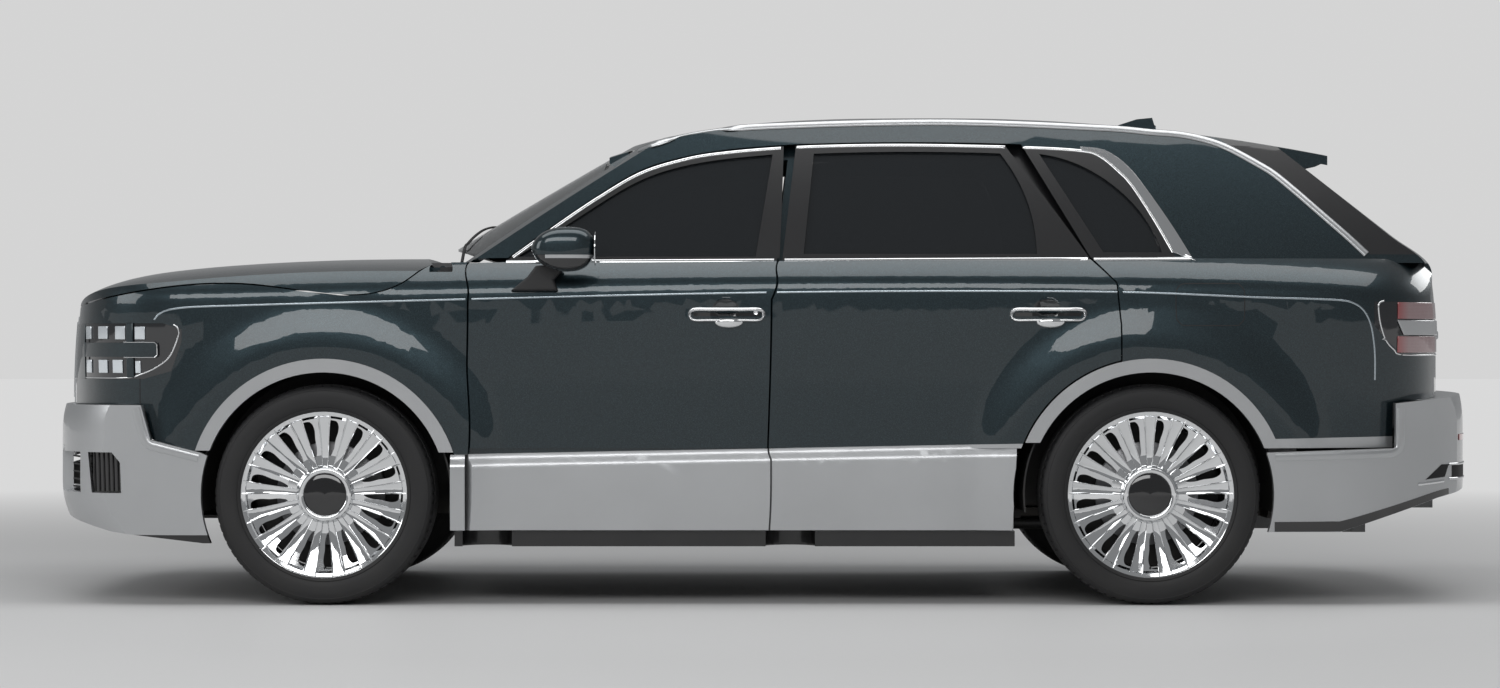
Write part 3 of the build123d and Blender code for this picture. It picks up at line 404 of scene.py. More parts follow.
class Skin:
    """Finds points on the outer surface of CAD nodes."""

    def __init__(self, *names):
        bm = bmesh.new()
        for name in names:
            bm.from_mesh(NODES[name].data)
        self.tree = BVHTree.FromBMesh(bm)
        bm.free()

    def hit(self, origin, direction, reach=1.4):
        """Where a ray meets the body, or the nearest place when it just misses an edge."""
        origin, direction = Vector(origin), Vector(direction)
        point, normal, _, _ = self.tree.ray_cast(origin, direction)
        if point is None:
            point, normal, _, distance = self.tree.find_nearest(origin + direction * reach)
            if distance > 0.16:
                raise RuntimeError(f"nothing of the body lies ahead of {tuple(origin)}")
        return point, normal if normal.dot(direction) < 0 else -normal

    def side(self, x, z, sign=-1):
        return self.hit((x, 2.0 * sign, z), (0, -sign, 0), 1.04)

    def front(self, y, z):
        return self.hit((-4, y, z), (1, 0, 0), 1.45)

    def back(self, y, z):
        return self.hit((4, y, z), (-1, 0, 0), 1.45)

    def top(self, x, y):
        return self.hit((x, y, 3), (0, 0, -1), 1.5)

    def shade(self, x, z, sign=-1):
        """Place on the side, or the nearest one where a line runs along the very edge of a panel."""
        for step in range(4):
            found = self.tree.ray_cast(Vector((x, 2.0 * sign, z - 0.002 * step)), Vector((0, -sign, 0)))
            if found[0] is not None and abs(found[0].y) > 0.5:
                return found[0], found[1] if found[1].y * sign > 0 else -found[1]
        depth = 0.68 if z > 1.24 else 0.96
        point, normal, _, distance = self.tree.find_nearest(Vector((x, depth * sign, z)))
        if distance > 0.12:
            raise RuntimeError(f"no panel lies near {x:.3f}, {z:.3f}")
        return point, normal if normal.y * sign > 0 else -normal


def lay_panel(bm, edge_a, edge_b, cast, low, high, columns=24, rows=4):
    """Closed plate that follows the body between two lines drawn in side, front or rear view."""
    made = bmesh.ops.create_grid(bm, x_segments=columns, y_segments=rows, size=1.0)["verts"]
    line_a, line_b = even_line(edge_a), even_line(edge_b)
    normals = {}
    for vert in made:
        s, t = (vert.co.x + 1) / 2, (vert.co.y + 1) / 2
        a, b = line_a(s), line_b(s)
        point, normal = cast(a[0] + (b[0] - a[0]) * t, a[1] + (b[1] - a[1]) * t)
        vert.co = point + normal * low
        normals[vert.co.to_tuple(6)] = normal
    faces = list({face for vert in made for face in vert.link_faces})
    grown = bmesh.ops.extrude_face_region(bm, geom=faces, use_keep_orig=True)["geom"]
    for item in grown:
        if isinstance(item, bmesh.types.BMVert):
            item.co = item.co + normals[item.co.to_tuple(6)] * (high - low)


def even_line(points):
    """Function from 0 to 1 along a smooth line through 2-D points."""
    if len(points) > 2:
        points = [tuple(p)[:2] for p in smooth_path([(a, b, 0) for a, b in points], 12)]
    lengths = [0.0]
    for a, b in zip(points, points[1:]):
        lengths.append(lengths[-1] + math.dist(a, b))

    def at(share):
        want = share * lengths[-1]
        for i in range(1, len(points)):
            if want <= lengths[i] + 1e-9:
                t = (want - lengths[i - 1]) / max(lengths[i] - lengths[i - 1], 1e-9)
                return tuple(a + (b - a) * t for a, b in zip(points[i - 1], points[i]))
        return points[-1]
    return at


def lay_strip(bm, line, cast, width, height, sink=0.001, count=60, flat=0.45):
    """Rounded moulding along a line on the body."""
    at = even_line(line)
    found = []
    for i in range(count + 1):
        place = cast(*at(i / count))
        if not found or (place[0] - found[-1][0]).length > 1e-4:
            found.append(place)
    points = [p for p, _ in found]
    last = len(found) - 1
    normals = [(found[max(i - 1, 0)][1] + n + found[min(i + 1, last)][1]).normalized()
               for i, (_, n) in enumerate(found)]
    half = width / 2
    profile = [(-half, -sink), (-half, height * 0.35), (-half * 0.8, height * 0.8), (-half * flat, height),
               (half * flat, height), (half * 0.8, height * 0.8), (half, height * 0.35), (half, -sink)]
    add_strip(bm, profile, frames_along(points, normals))


def add_pair(name, make, material, body, smooth=40.0, replaces=(), finish_with=None):
    """The same piece on both sides; the names may hold {side}."""
    for side, sign in SIDES:
        bm = bmesh.new()
        make(bm)
        if sign > 0:
            bmesh.ops.scale(bm, vec=(1, -1, 1), verts=bm.verts)
        piece = add_piece(f"{name}_{side}", bm, material, body.format(side=side), smooth,
                          [node.format(side=side) for node in replaces])
        if finish_with:
            finish_with(piece)


def rounded(width=0.0008, segments=2):
    """Finish that rounds a piece's edges."""
    return lambda piece: modify(piece, "BEVEL", width=width, segments=segments, limit_method="ANGLE",
                                angle_limit=math.radians(35), harden_normals=False)


def tube(bm, points, radius, sides=10, normal=(0, 0, 1), flat=1.0):
    """Round or oval bar along points."""
    profile = [(radius * math.cos(2 * math.pi * i / sides), flat * radius * math.sin(2 * math.pi * i / sides))
               for i in range(sides)]
    points = [Vector(p) for p in points]
    add_strip(bm, profile, frames_along(points, [Vector(normal)] * len(points)))


# Lines on the body, in metres, in side view
WINDOW_LINE = [(-0.905, 1.236), (-0.728, 1.366), (-0.586, 1.464), (-0.442, 1.550), (-0.298, 1.598), (-0.152, 1.625),
               (0.125, 1.648), (0.505, 1.656), (0.940, 1.648), (1.159, 1.636), (1.231, 1.616), (1.303, 1.554),
               (1.348, 1.500), (1.420, 1.378), (1.4805, 1.262)]
PILLAR_OUTER = [(1.160, 1.650), (1.250, 1.638), (1.328, 1.582), (1.391, 1.500), (1.478, 1.366), (1.557, 1.228)]
ROOF_LINE = [(-0.446, 1.640), (-0.226, 1.706), (0.141, 1.732), (0.692, 1.742), (1.242, 1.722), (1.420, 1.707),
             (1.533, 1.698), (1.637, 1.675), (1.716, 1.643), (1.816, 1.586), (1.870, 1.551), (1.946, 1.485),
             (2.031, 1.407), (2.126, 1.320), (2.190, 1.257)]
CREASE = [(-2.175, 1.003), (-2.160, 1.035), (-2.082, 1.060), (-1.819, 1.071), (-1.046, 1.092), (-0.5, 1.106),
          (0.1, 1.117), (0.7, 1.121), (1.3, 1.117), (1.754, 1.099), (1.930, 1.094), (2.040, 1.090)]
CREASE_END = [(2.040, 1.090), (2.096, 1.084), (2.138, 1.064), (2.165, 1.030), (2.182, 0.980), (2.192, 0.900),
              (2.193, 0.803)]
TAIL_EDGE = [(1.830, 0.529), (2.050, 0.535), (2.225, 0.541), (2.262, 0.549), (2.279, 0.575), (2.282, 0.705)]
NOSE_EDGE = [(-2.233, 0.704), (-2.224, 0.665), (-2.205, 0.598), (-2.186, 0.573), (-2.150, 0.562), (-2.008, 0.526)]
REAR_LIP = [(1.826, 0.263), (2.045, 0.264), (2.075, 0.268), (2.235, 0.320), (2.405, 0.376), (2.470, 0.393)]
LIP_TOP = [(1.826, 0.298), (2.025, 0.300), (2.075, 0.304), (2.235, 0.350), (2.405, 0.401), (2.470, 0.414)]


def part_of(line, start, stop):
    """Stretch of a line between two values of x."""
    points = [tuple(p)[:2] for p in smooth_path([(a, b, 0) for a, b in line], 12)]
    found = [(start, between(points, start))]
    found += [p for p in points if start + 0.004 < p[0] < stop - 0.004]
    found.append((stop, between(points, stop)))
    return found


def between(points, x):
    for (x0, z0), (x1, z1) in zip(points, points[1:]):
        if min(x0, x1) <= x <= max(x0, x1) and x0 != x1:
            return z0 + (z1 - z0) * (x - x0) / (x1 - x0)
    return points[0][1] if x < points[0][0] else points[-1][1]


# Finishes and settings

class CrossoverLook(bpy.types.PropertyGroup):
    """Colours and sizes of the crossover's finishes."""
    paint: bpy.props.FloatVectorProperty(name="Paint", description="Upper body colour", subtype="COLOR",
                                         default=(0.008, 0.018, 0.023), min=0, max=1)
    flake: bpy.props.FloatVectorProperty(name="Flake", description="Colour of the metal flake in the paint",
                                         subtype="COLOR", default=(0.07, 0.12, 0.14), min=0, max=1)
    silver: bpy.props.FloatVectorProperty(name="Lower body", description="Colour of the silver lower panels",
                                          subtype="COLOR", default=(0.50, 0.51, 0.52), min=0, max=1)
    trim_black: bpy.props.FloatVectorProperty(name="Black trim", description="Colour of the gloss black trim",
                                              subtype="COLOR", default=(0.004, 0.004, 0.005), min=0, max=1)
    leather: bpy.props.FloatVectorProperty(name="Leather", description="Colour of the seats", subtype="COLOR",
                                           default=(0.30, 0.24, 0.18), min=0, max=1)
    floor: bpy.props.FloatVectorProperty(name="Floor", description="Colour of the floor and backdrop",
                                         subtype="COLOR", default=(0.62, 0.62, 0.62), min=0, max=1)


class CrossoverSizes(bpy.types.PropertyGroup):
    """Sizes of the trim and wheels."""
    trim_width: bpy.props.FloatProperty(name="Window trim", description="Width of the chrome around the glass",
                                        default=0.012, unit="LENGTH")
    belt_width: bpy.props.FloatProperty(name="Belt trim", description="Height of the chrome under the glass",
                                        default=0.016, unit="LENGTH")
    roof_width: bpy.props.FloatProperty(name="Roof trim", description="Width of the silver roof strip",
                                        default=0.026, unit="LENGTH")
    spokes: bpy.props.IntProperty(name="Spokes", description="Double spokes on each wheel", default=17)
    rim_radius: bpy.props.FloatProperty(name="Rim radius", description="Radius of the wheel's visible face",
                                        default=0.2965, unit="LENGTH")
    treads: bpy.props.IntProperty(name="Tread blocks", description="Shoulder blocks around each tyre", default=72)


def chrome():
    return finish("Polished chrome", (0.80, 0.81, 0.82), 0.06, 1.0, vary=0.02)


def satin():
    look = bpy.context.scene.crossover_look
    return finish("Satin silver", tuple(look.silver), 0.30, 0.85, coat=0.5, vary=0.05)


def gloss_black():
    look = bpy.context.scene.crossover_look
    return finish("Gloss black", tuple(look.trim_black), 0.08, 0.0, coat=1.0, vary=0.1)


def plastic():
    return finish("Grained plastic", (0.012, 0.012, 0.013), 0.55, grain=0.35, grain_scale=900.0, dust=0.25)


def rubber():
    return finish("Seal rubber", (0.008, 0.008, 0.009), 0.7, grain=0.2)


def tyre_rubber():
    return finish("Tyre rubber", (0.010, 0.010, 0.011), 0.62, grain=0.25, grain_scale=700.0, dust=0.05)


def lens_glass():
    return finish("Dark lens", (0.010, 0.011, 0.013), 0.03, 0.0, coat=1.0, vary=0.05)


def leather():
    look = bpy.context.scene.crossover_look
    return finish("Leather", tuple(look.leather), 0.5, grain=0.5, grain_scale=320.0, vary=0.15, sheen=0.1)


class CROSSOVER_OT_finishes(bpy.types.Operator):
    """Gives every modelled panel its paint, metal, glass or plastic"""
    bl_idname = "crossover.finishes"
    bl_label = "Body finishes"

    def execute(self, context):
        make_groups()
        painted = two_tone("Body paint", all_paint)
        banded = two_tone("Wing finish", band_below)
        side = two_tone("Body side finish", side_zones)
        gate = two_tone("Tailgate finish", gate_zones)
        door = two_tone("Door finish", door_zones)
        lower = two_tone("Bumper finish", bumper_zones)
        tinted = finish("Tinted glass", (0.010, 0.012, 0.014), 0.02, 0.0, coat=0.4, vary=0.02, alpha=0.86)
        clear = finish("Windscreen glass", (0.012, 0.015, 0.016), 0.02, 0.0, coat=0.4, vary=0.02, alpha=0.72)
        steel = finish("Cast metal", (0.16, 0.165, 0.17), 0.45, 0.8, grain=0.2, grain_scale=300.0, dust=0.4)
        under = finish("Underbody coating", (0.014, 0.014, 0.015), 0.8, grain=0.3, grain_scale=200.0, dust=0.5)
        cabin = finish("Cabin trim", (0.035, 0.033, 0.031), 0.6, grain=0.3, grain_scale=600.0)
        used = {
            painted: ("bonnet", "roof_panel"),
            banded: ("front_fenders",),
            side: ("side_frames",),
            gate: ("tailgate",),
            door: ("front_door_left", "front_door_right", "rear_door_left", "rear_door_right"),
            lower: ("front_bumper", "rear_bumper"),
            satin(): ("arch_mouldings", "grille"),
            lens_glass(): ("headlamps", "tail_lamps"),
            tinted: ("quarter_windows", "rear_window", "front_door_glass_left", "front_door_glass_right",
                     "rear_door_glass_left", "rear_door_glass_right"),
            clear: ("windscreen",),
            plastic(): ("scuttle", "wheel_arch_liners", "undertray"),
            under: ("floor_pan", "inner_wings"),
            steel: ("engine", "front_suspension", "rear_suspension", "exhaust", "knuckle_left", "knuckle_right"),
            cabin: ("dashboard", "front_seats", "rear_seat", "steering_wheel"),
            gloss_black(): ("mirror_left", "mirror_right"),
            chrome(): ("front_rim_left", "front_rim_right", "rear_rim_left", "rear_rim_right"),
            tyre_rubber(): ("front_tyre_left", "front_tyre_right", "rear_tyre_left", "rear_tyre_right"),
        }
        for material, names in used.items():
            for name in names:
                for slot in NODES[name].material_slots:
                    slot.material = material
        return {"FINISHED"}


class CROSSOVER_OT_trim(bpy.types.Operator):
    """Chrome around the side glass, belt and roof strips, the painted highlight strip along the waist crease and the
    fuel flap
    """
    bl_idname = "crossover.trim"
    bl_label = "Body trim"

    def execute(self, context):
        sizes = context.scene.crossover_sizes
        front = Skin("front_door_left", "front_door_glass_left")
        rear = Skin("rear_door_left", "rear_door_glass_left")
        body = Skin("side_frames", "quarter_windows", "roof_panel", "front_fenders", "rear_bumper", "tail_lamps")
        bright = chrome()
        ends = Skin("front_bumper", "rear_bumper")
        for name, skin, start, stop, owner in (
                ("window_trim_front", front, -0.895, 0.070, "front_door_{side}"),
                ("window_trim_rear", rear, 0.094, 0.932, "rear_door_{side}"),
                ("window_trim_quarter", body, 0.946, 1.4805, "shell")):
            line = part_of(WINDOW_LINE, start, stop)
            add_pair(name, lambda bm: lay_strip(bm, line, skin.shade, sizes.trim_width, 0.004, count=70), bright, owner)
        for name, skin, start, stop, owner in (
                ("belt_trim_front", front, -0.918, 0.044, "front_door_{side}"),
                ("belt_trim_rear", rear, 0.082, 1.170, "rear_door_{side}"),
                ("belt_trim_quarter", body, 1.192, 1.540, "shell")):
            line = [(start, 1.226 + 0.0048 * (start + 0.9)), (stop, 1.226 + 0.0048 * (stop + 0.9))]
            add_pair(name, lambda bm: lay_strip(bm, line, skin.shade, sizes.belt_width, 0.005, count=30), bright, owner)
        add_pair("pillar_trim", lambda bm: lay_panel(bm, part_of(WINDOW_LINE, 1.165, 1.4805), PILLAR_OUTER, body.shade,
                                                     0.0004, 0.0045, 40, 6),
                 bright, "shell", finish_with=rounded(0.0015))
        add_pair("roof_trim", lambda bm: lay_strip(bm, ROOF_LINE, body.shade, sizes.roof_width, 0.006, count=110,
                                                   flat=0.6), satin(), "shell")
        # Pale metal strip raised along the waist crease: its light colour is a painted highlight of the crease
        crease_highlight_finish = finish("Waist line", (0.42, 0.48, 0.52), 0.25, 0.9, coat=0.8, vary=0.02)
        for name, skin, start, stop, owner in (
                ("crease_highlight_wing", body, -2.172, -1.058, "shell"),
                ("crease_highlight_front", front, -1.036, 0.016, "front_door_{side}"),
                ("crease_highlight_rear", rear, 0.030, 1.268, "rear_door_{side}")):
            line = part_of(CREASE, start, stop)
            add_pair(name, lambda bm: lay_strip(bm, line, skin.shade, 0.006, 0.0012, count=50), crease_highlight_finish, owner)
        line = part_of(CREASE, 1.288, 2.040)[:-1] + CREASE_END
        add_pair("crease_highlight_quarter", lambda bm: lay_strip(bm, line, body.shade, 0.006, 0.0012, count=90), crease_highlight_finish,
                 "shell")
        for name, edge in (("nose_edge", NOSE_EDGE), ("tail_edge", TAIL_EDGE)):
            add_pair(name, lambda bm: lay_strip(bm, edge, ends.shade, 0.030, 0.004, count=60, flat=0.7), satin(),
                     "shell")
        x0, x1, z0, z1, r = 1.478, 1.722, 0.998, 1.148, 0.035
        corners = [(x0 + r, z1 - r, 90), (x0 + r, z0 + r, 180), (x1 - r, z0 + r, 270), (x1 - r, z1 - r, 0)]
        ring = [(cx + r * math.cos(math.radians(turn + a)), cz + r * math.sin(math.radians(turn + a)))
                for cx, cz, turn in corners for a in (0, 30, 60, 90)]
        ring.append(ring[0])
        add_pair("fuel_flap_gap", lambda bm: lay_strip(bm, ring, body.shade, 0.0035, 0.0006, count=120), rubber(),
                 "shell")
        return {"FINISHED"}


class CROSSOVER_OT_handles(bpy.types.Operator):
    """Chrome door handles with their finger cups and lock, a painted shadow between the grips and painted shade for the
    recess above them
    """
    bl_idname = "crossover.handles"
    bl_label = "Door handles"

    def execute(self, context):
        for end, middle in (("front", -0.126), ("rear", 1.022)):
            skin = Skin(f"{end}_door_left")
            flat = skin.side(middle - 0.10, 1.045)[0].y

            def stand(x, z, out):
                return Vector((x, flat - out, z))

            def grip(bm):
                for z, thick, squash, out in ((1.0555, 0.0095, 1.0, 0.030), (1.0170, 0.0042, 1.0, 0.018)):
                    ends = [(-0.131, -0.02, 0.001), (-0.128, -0.008, 0.5), (-0.112, 0.0, 0.9), (-0.06, 0.0, 1.0),
                            (0.0, 0.0, 1.0), (0.06, 0.0, 1.0), (0.112, 0.0, 0.9), (0.128, -0.008, 0.5),
                            (0.131, -0.02, 0.001)]
                    lean = 1 if z > 1.03 else -1
                    stations = [stand(middle + dx, z + lean * dz, out * rise - 0.004) for dx, dz, rise in ends]
                    path = smooth_path(stations, 5)
                    tube(bm, path, thick, 12, (0, 0, 1), 0.75 if z > 1.03 else 1.0)

            add_pair(f"handle_{end}", grip, chrome(), f"{end}_door_{{side}}", 60)

            def cup(bm):
                bmesh.ops.create_uvsphere(bm, u_segments=32, v_segments=16, radius=1.0)
                bmesh.ops.scale(bm, vec=(0.052, 0.020, 0.023), verts=bm.verts)
                bmesh.ops.bisect_plane(bm, geom=bm.verts[:] + bm.edges[:] + bm.faces[:], plane_co=(0, 0, 0.008),
                                       plane_no=(0, 0.25, 1), clear_outer=True)
                bmesh.ops.holes_fill(bm, edges=[e for e in bm.edges if e.is_boundary])
                bmesh.ops.translate(bm, vec=(middle + 0.008, flat - 0.004, 1.0105), verts=bm.verts)

            add_pair(f"handle_lever_{end}", cup, chrome(), f"{end}_door_{{side}}", 50)

            # Gloss black strip between the two grips: a painted shadow of the handle on the door
            def handle_painted_shadow(bm):
                lay_panel(bm, [(middle - 0.118, 1.031), (middle + 0.118, 1.031)],
                          [(middle - 0.118, 1.044), (middle + 0.118, 1.044)], skin.side, 0.0004, 0.0018, 24, 2)

            add_pair(f"handle_shadow_{end}", handle_painted_shadow, gloss_black(), f"{end}_door_{{side}}")

            # Near-black half oval above the upper grip: painted shade standing for a recess in the door
            def recess_shade(bm):
                upper = [(middle - 0.052 + 0.004 * i, 1.062 + 0.030 * math.sqrt(max(0.0, 1 - ((i - 12) / 12) ** 2)))
                         for i in range(25)]
                lower = [(middle - 0.052 + 0.004 * i, 1.056) for i in range(25)]
                lay_panel(bm, lower, upper, skin.side, 0.0003, 0.0010, 24, 6)

            add_pair(f"handle_scoop_{end}", recess_shade, finish("Handle scoop", (0.006, 0.008, 0.010), 0.35, coat=0.6),
                     f"{end}_door_{{side}}")
        front_y = Skin("front_door_left").side(-0.03, 1.03)[0].y

        def lock(bm):
            add_ring(bm, [(0.0001, 0.0), (0.0085, 0.0), (0.0085, -0.006), (0.007, -0.0075), (0.0001, -0.006)],
                     (-0.022, front_y - 0.004, 1.0445), steps=32)

        add_pair("door_lock", lock, chrome(), "front_door_{side}")
        return {"FINISHED"}


def wheel_places(radii, offsets, widths, heights, centre, turn):
    """Scaled frames for a spoke that runs outwards from the hub."""
    found = []
    for i, radius in enumerate(radii):
        before, after = max(i - 1, 0), min(i + 1, len(radii) - 1)
        tangent = Vector((radii[after] - radii[before], offsets[after] - offsets[before], 0)).normalized()
        outward = Vector((tangent.y, -tangent.x, 0))
        side = outward.cross(tangent)
        place = Matrix((side * widths[i], outward * heights[i], tangent)).transposed().to_4x4()
        place.translation = Vector((radius, offsets[i], 0))
        found.append(Matrix.Translation(centre) @ Matrix.Rotation(turn, 4, "Y") @ place)
    return found


class CROSSOVER_OT_wheels(bpy.types.Operator):
    """Spoke blades, centre caps, rim lips, valves and tyres"""
    bl_idname = "crossover.wheels"
    bl_label = "Wheels"

    def execute(self, context):
        sizes = context.scene.crossover_sizes
        for end, x in ENDS:
            centre = Vector((x, -TRACK_Y, AXLE_Z))
            wheel = f"{end}_wheel_{{side}}"

            def blades(bm):
                radii = (0.094, 0.110, 0.140, 0.175, 0.215, 0.250, 0.275, 0.2935)
                offsets = (-0.0760, -0.0720, -0.0700, -0.0740, -0.0830, -0.0945, -0.1050, -0.1120)
                widths = (0.0095, 0.0105, 0.0130, 0.0150, 0.0175, 0.0205, 0.0235, 0.0250)
                heights = (0.002, 0.006, 0.010, 0.011, 0.011, 0.010, 0.008, 0.0035)
                profile = [(-1.0, -0.35), (-1.0, 0.85), (-0.93, 1.0), (-0.84, 0.9), (-0.74, 0.30), (-0.4, 0.16),
                           (0.4, 0.16), (0.74, 0.30), (0.84, 0.9), (0.93, 1.0), (1.0, 0.85), (1.0, -0.35)]
                for i in range(sizes.spokes):
                    turn = math.radians(90) + 2 * math.pi * (i + 0.5) / sizes.spokes
                    add_strip(bm, profile, wheel_places(radii, offsets, widths, heights, centre, turn))

            add_pair(f"wheel_blades_{end}", blades, chrome(), wheel, 35)

            def lip(bm):
                add_ring(bm, [(0.2800, -0.1045), (0.2840, -0.1075), (0.2890, -0.1120), (0.2930, -0.1155),
                              (0.2965, -0.1168), (0.2985, -0.1160), (0.2990, -0.1130), (0.2960, -0.1060),
                              (0.2860, -0.0980)], centre, steps=128)

            add_pair(f"wheel_lip_{end}", lip, chrome(), wheel)

            def collar(bm):
                add_ring(bm, [(0.1050, -0.0700), (0.1000, -0.0780), (0.0965, -0.0880), (0.0925, -0.0925),
                              (0.0860, -0.0935), (0.0790, -0.0915), (0.0755, -0.0880), (0.0750, -0.0800),
                              (0.0900, -0.0660)], centre, steps=96)

            add_pair(f"wheel_collar_{end}", collar, chrome(), wheel, 60)

            def cap(bm):
                add_ring(bm, [(0.0001, -0.0945), (0.030, -0.0938), (0.055, -0.0915), (0.070, -0.0885),
                              (0.0752, -0.0860), (0.0752, -0.0800), (0.0001, -0.0800)], centre, steps=96)

            add_pair(f"wheel_cap_{end}", cap, gloss_black(), wheel, 60)

            def valve(bm):
                add_ring(bm, [(0.0001, -0.030), (0.003, -0.030), (0.004, -0.026), (0.004, 0.0), (0.0001, 0.0)],
                         centre + Vector((0.0, -0.070, -0.262)), steps=16)

            add_pair(f"wheel_valve_{end}", valve, rubber(), wheel)

            def shield(bm):
                add_ring(bm, [(0.05, 0.043), (0.262, 0.043), (0.266, 0.036), (0.268, 0.046), (0.05, 0.046)], centre,
                         steps=64)

            add_pair(f"brake_shield_{end}", shield, plastic(), "knuckle_{side}" if end == "front" else "shell")

            def disc(bm):
                add_ring(bm, [(0.060, 0.016), (0.075, 0.014), (0.080, 0.0165), (0.184, 0.0165), (0.186, 0.018),
                              (0.186, 0.041), (0.060, 0.041)], centre, steps=96)

            add_pair(f"brake_disc_{end}", disc, finish("Brake disc", (0.30, 0.30, 0.31), 0.35, 0.9, grain=0.2), wheel)

            def tread(bm):
                outer = [(0.2900, -0.1080), (0.2965, -0.1172), (0.3020, -0.1205), (0.3075, -0.1222), (0.3100, -0.1205),
                         (0.3125, -0.1225), (0.3300, -0.1262), (0.3480, -0.1274), (0.3600, -0.1268), (0.3700, -0.1244),
                         (0.3715, -0.1252), (0.3730, -0.1240), (0.3800, -0.1190), (0.3850, -0.1130), (0.3885, -0.1050),
                         (0.3915, -0.0900), (0.3930, -0.0690), (0.3850, -0.0680), (0.3850, -0.0600), (0.3936, -0.0590),
                         (0.3940, -0.0270), (0.3860, -0.0260), (0.3860, -0.0180), (0.3940, -0.0170)]
                ring = outer + [(r, -o) for r, o in reversed(outer)]
                add_ring(bm, ring, centre, steps=288)
                blocks = []
                for face in bm.faces:
                    where = face.calc_center_median() - centre
                    radius = math.hypot(where.x, where.z)
                    step = int((math.atan2(where.z, where.x) + math.pi) / (2 * math.pi) * 288)
                    if radius > 0.3865 and abs(where.y) > 0.0695 and step % 4 == 0:
                        blocks.append(face)
                made = bmesh.ops.extrude_face_region(bm, geom=blocks)["geom"]
                for item in made:
                    if isinstance(item, bmesh.types.BMVert):
                        away = item.co - centre
                        away.y = 0
                        item.co -= away.normalized() * 0.0035
                bmesh.ops.delete(bm, geom=blocks, context="FACES_ONLY")

            add_pair(f"tyre_{end}", tread, tyre_rubber(), wheel, 30, (f"{end}_tyre_{{side}}",))
        return {"FINISHED"}


def housing(bm, swell=0.0):
    """Mirror housing: a rounded block that leans to the rear at the top."""
    bmesh.ops.create_uvsphere(bm, u_segments=64, v_segments=40, radius=1.0)
    half = Vector((0.113 + swell, 0.085 + swell, 0.080 + swell))
    for vert in bm.verts:
        x, y, z = (math.copysign(abs(c) ** 0.62, c) for c in vert.co)
        drop = 0.10 * (1 - z) * max(0.0, -x)
        vert.co = Vector((-0.704 + half.x * (x * (1.0 - 0.10 * abs(z)) + 0.06 * z),
                          -1.034 + half.y * y * (1 - 0.10 * max(0, x)),
                          1.267 + half.z * (z * (1 - 0.22 * max(0.0, -x) ** 2) + drop)))


def keep_slice(bm, low=None, high=None, lean=0.0):
    """Keeps the part of a closed form between two heights."""
    for level, normal in ((low, (lean, 0, -1)), (high, (-lean, 0, 1))):
        if level is not None:
            bmesh.ops.bisect_plane(bm, geom=bm.verts[:] + bm.edges[:] + bm.faces[:], plane_co=(-0.7, -1.03, level),
                                   plane_no=normal, clear_outer=True)
            bmesh.ops.holes_fill(bm, edges=[e for e in bm.edges if e.is_boundary])


class CROSSOVER_OT_mirrors(bpy.types.Operator):
    """Door mirrors: painted cap, lamp strip, black base, foot and glass"""
    bl_idname = "crossover.mirrors"
    bl_label = "Door mirrors"

    def execute(self, context):
        owner = "front_door_{side}"

        def cap(bm):
            housing(bm)
            keep_slice(bm, low=1.2475)

        add_pair("mirror_cap", cap, two_tone("Body paint", all_paint), owner, 50, ("mirror_{side}",))

        def strip(bm):
            housing(bm, 0.0012)
            keep_slice(bm, 1.2350, 1.2470)
            bmesh.ops.bisect_plane(bm, geom=bm.verts[:] + bm.edges[:] + bm.faces[:], plane_co=(-0.765, 0, 0),
                                   plane_no=(-1, 0, 0), clear_outer=True)
            bmesh.ops.holes_fill(bm, edges=[e for e in bm.edges if e.is_boundary])

        add_pair("mirror_strip", strip, satin(), owner, 50)

        def base(bm):
            housing(bm, -0.0015)
            keep_slice(bm, high=1.2470)

        add_pair("mirror_base", base, gloss_black(), owner, 50)

        def foot(bm):
            outline = [(-0.897, 1.121), (-0.726, 1.121), (-0.742, 1.160), (-0.706, 1.200), (-0.720, 1.215),
                       (-0.806, 1.212), (-0.836, 1.172)]
            ring = [bm.verts.new((x, -0.925, z)) for x, z in outline]
            face = bm.faces.new(ring)
            for y, scale in ((-0.972, 1.0), (-0.990, 0.94)):
                grown = bmesh.ops.extrude_face_region(bm, geom=[face])["geom"]
                verts = [v for v in grown if isinstance(v, bmesh.types.BMVert)]
                face = [f for f in grown if isinstance(f, bmesh.types.BMFace)][0]
                middle = face.calc_center_median()
                for vert in verts:
                    vert.co = middle + (vert.co - middle) * scale
                    vert.co.y = y

        add_pair("mirror_foot", foot, plastic(), owner, finish_with=rounded(0.006, 3))

        def glass(bm):
            bmesh.ops.create_circle(bm, cap_ends=True, segments=48, radius=1.0)
            bmesh.ops.scale(bm, vec=(0.066, 0.060, 1), verts=bm.verts)
            for vert in bm.verts:
                vert.co = Vector((-0.5925, -1.034 + vert.co.x, 1.270 + vert.co.y))
            grown = bmesh.ops.extrude_face_region(bm, geom=bm.faces[:], use_keep_orig=True)["geom"]
            bmesh.ops.translate(bm, vec=(0.003, 0, 0), verts=[v for v in grown if isinstance(v, bmesh.types.BMVert)])

        silvered = finish("Mirror glass", (0.75, 0.77, 0.78), 0.03, 1.0, vary=0.02)
        add_pair("mirror_glass", glass, silvered, owner)
        return {"FINISHED"}


LAMP_STRETCH = 1.227  # of the lamp along the wing, to reach the back of its lens


def nose_cast(skin):
    """Cast round the front corner: metres along the side behind it, or across the front when negative."""
    def cast(s, z):
        if s < 0:
            return skin.front(-0.80 - s, z)
        return skin.side(skin.front(-0.80, z)[0].x + s * LAMP_STRETCH, z)
    return cast


def tail_cast(skin):
    """Cast round the rear corner: metres across the back, or forward along the side when negative."""
    def cast(s, z):
        if s > 0:
            return skin.back(-0.80 + s, z)
        return skin.side(skin.back(-0.80, z)[0].x + s, z)
    return cast


def led():
    return finish("Lamp module", (0.75, 0.80, 0.84), 0.12, 0.6, coat=1.0, vary=0.05)


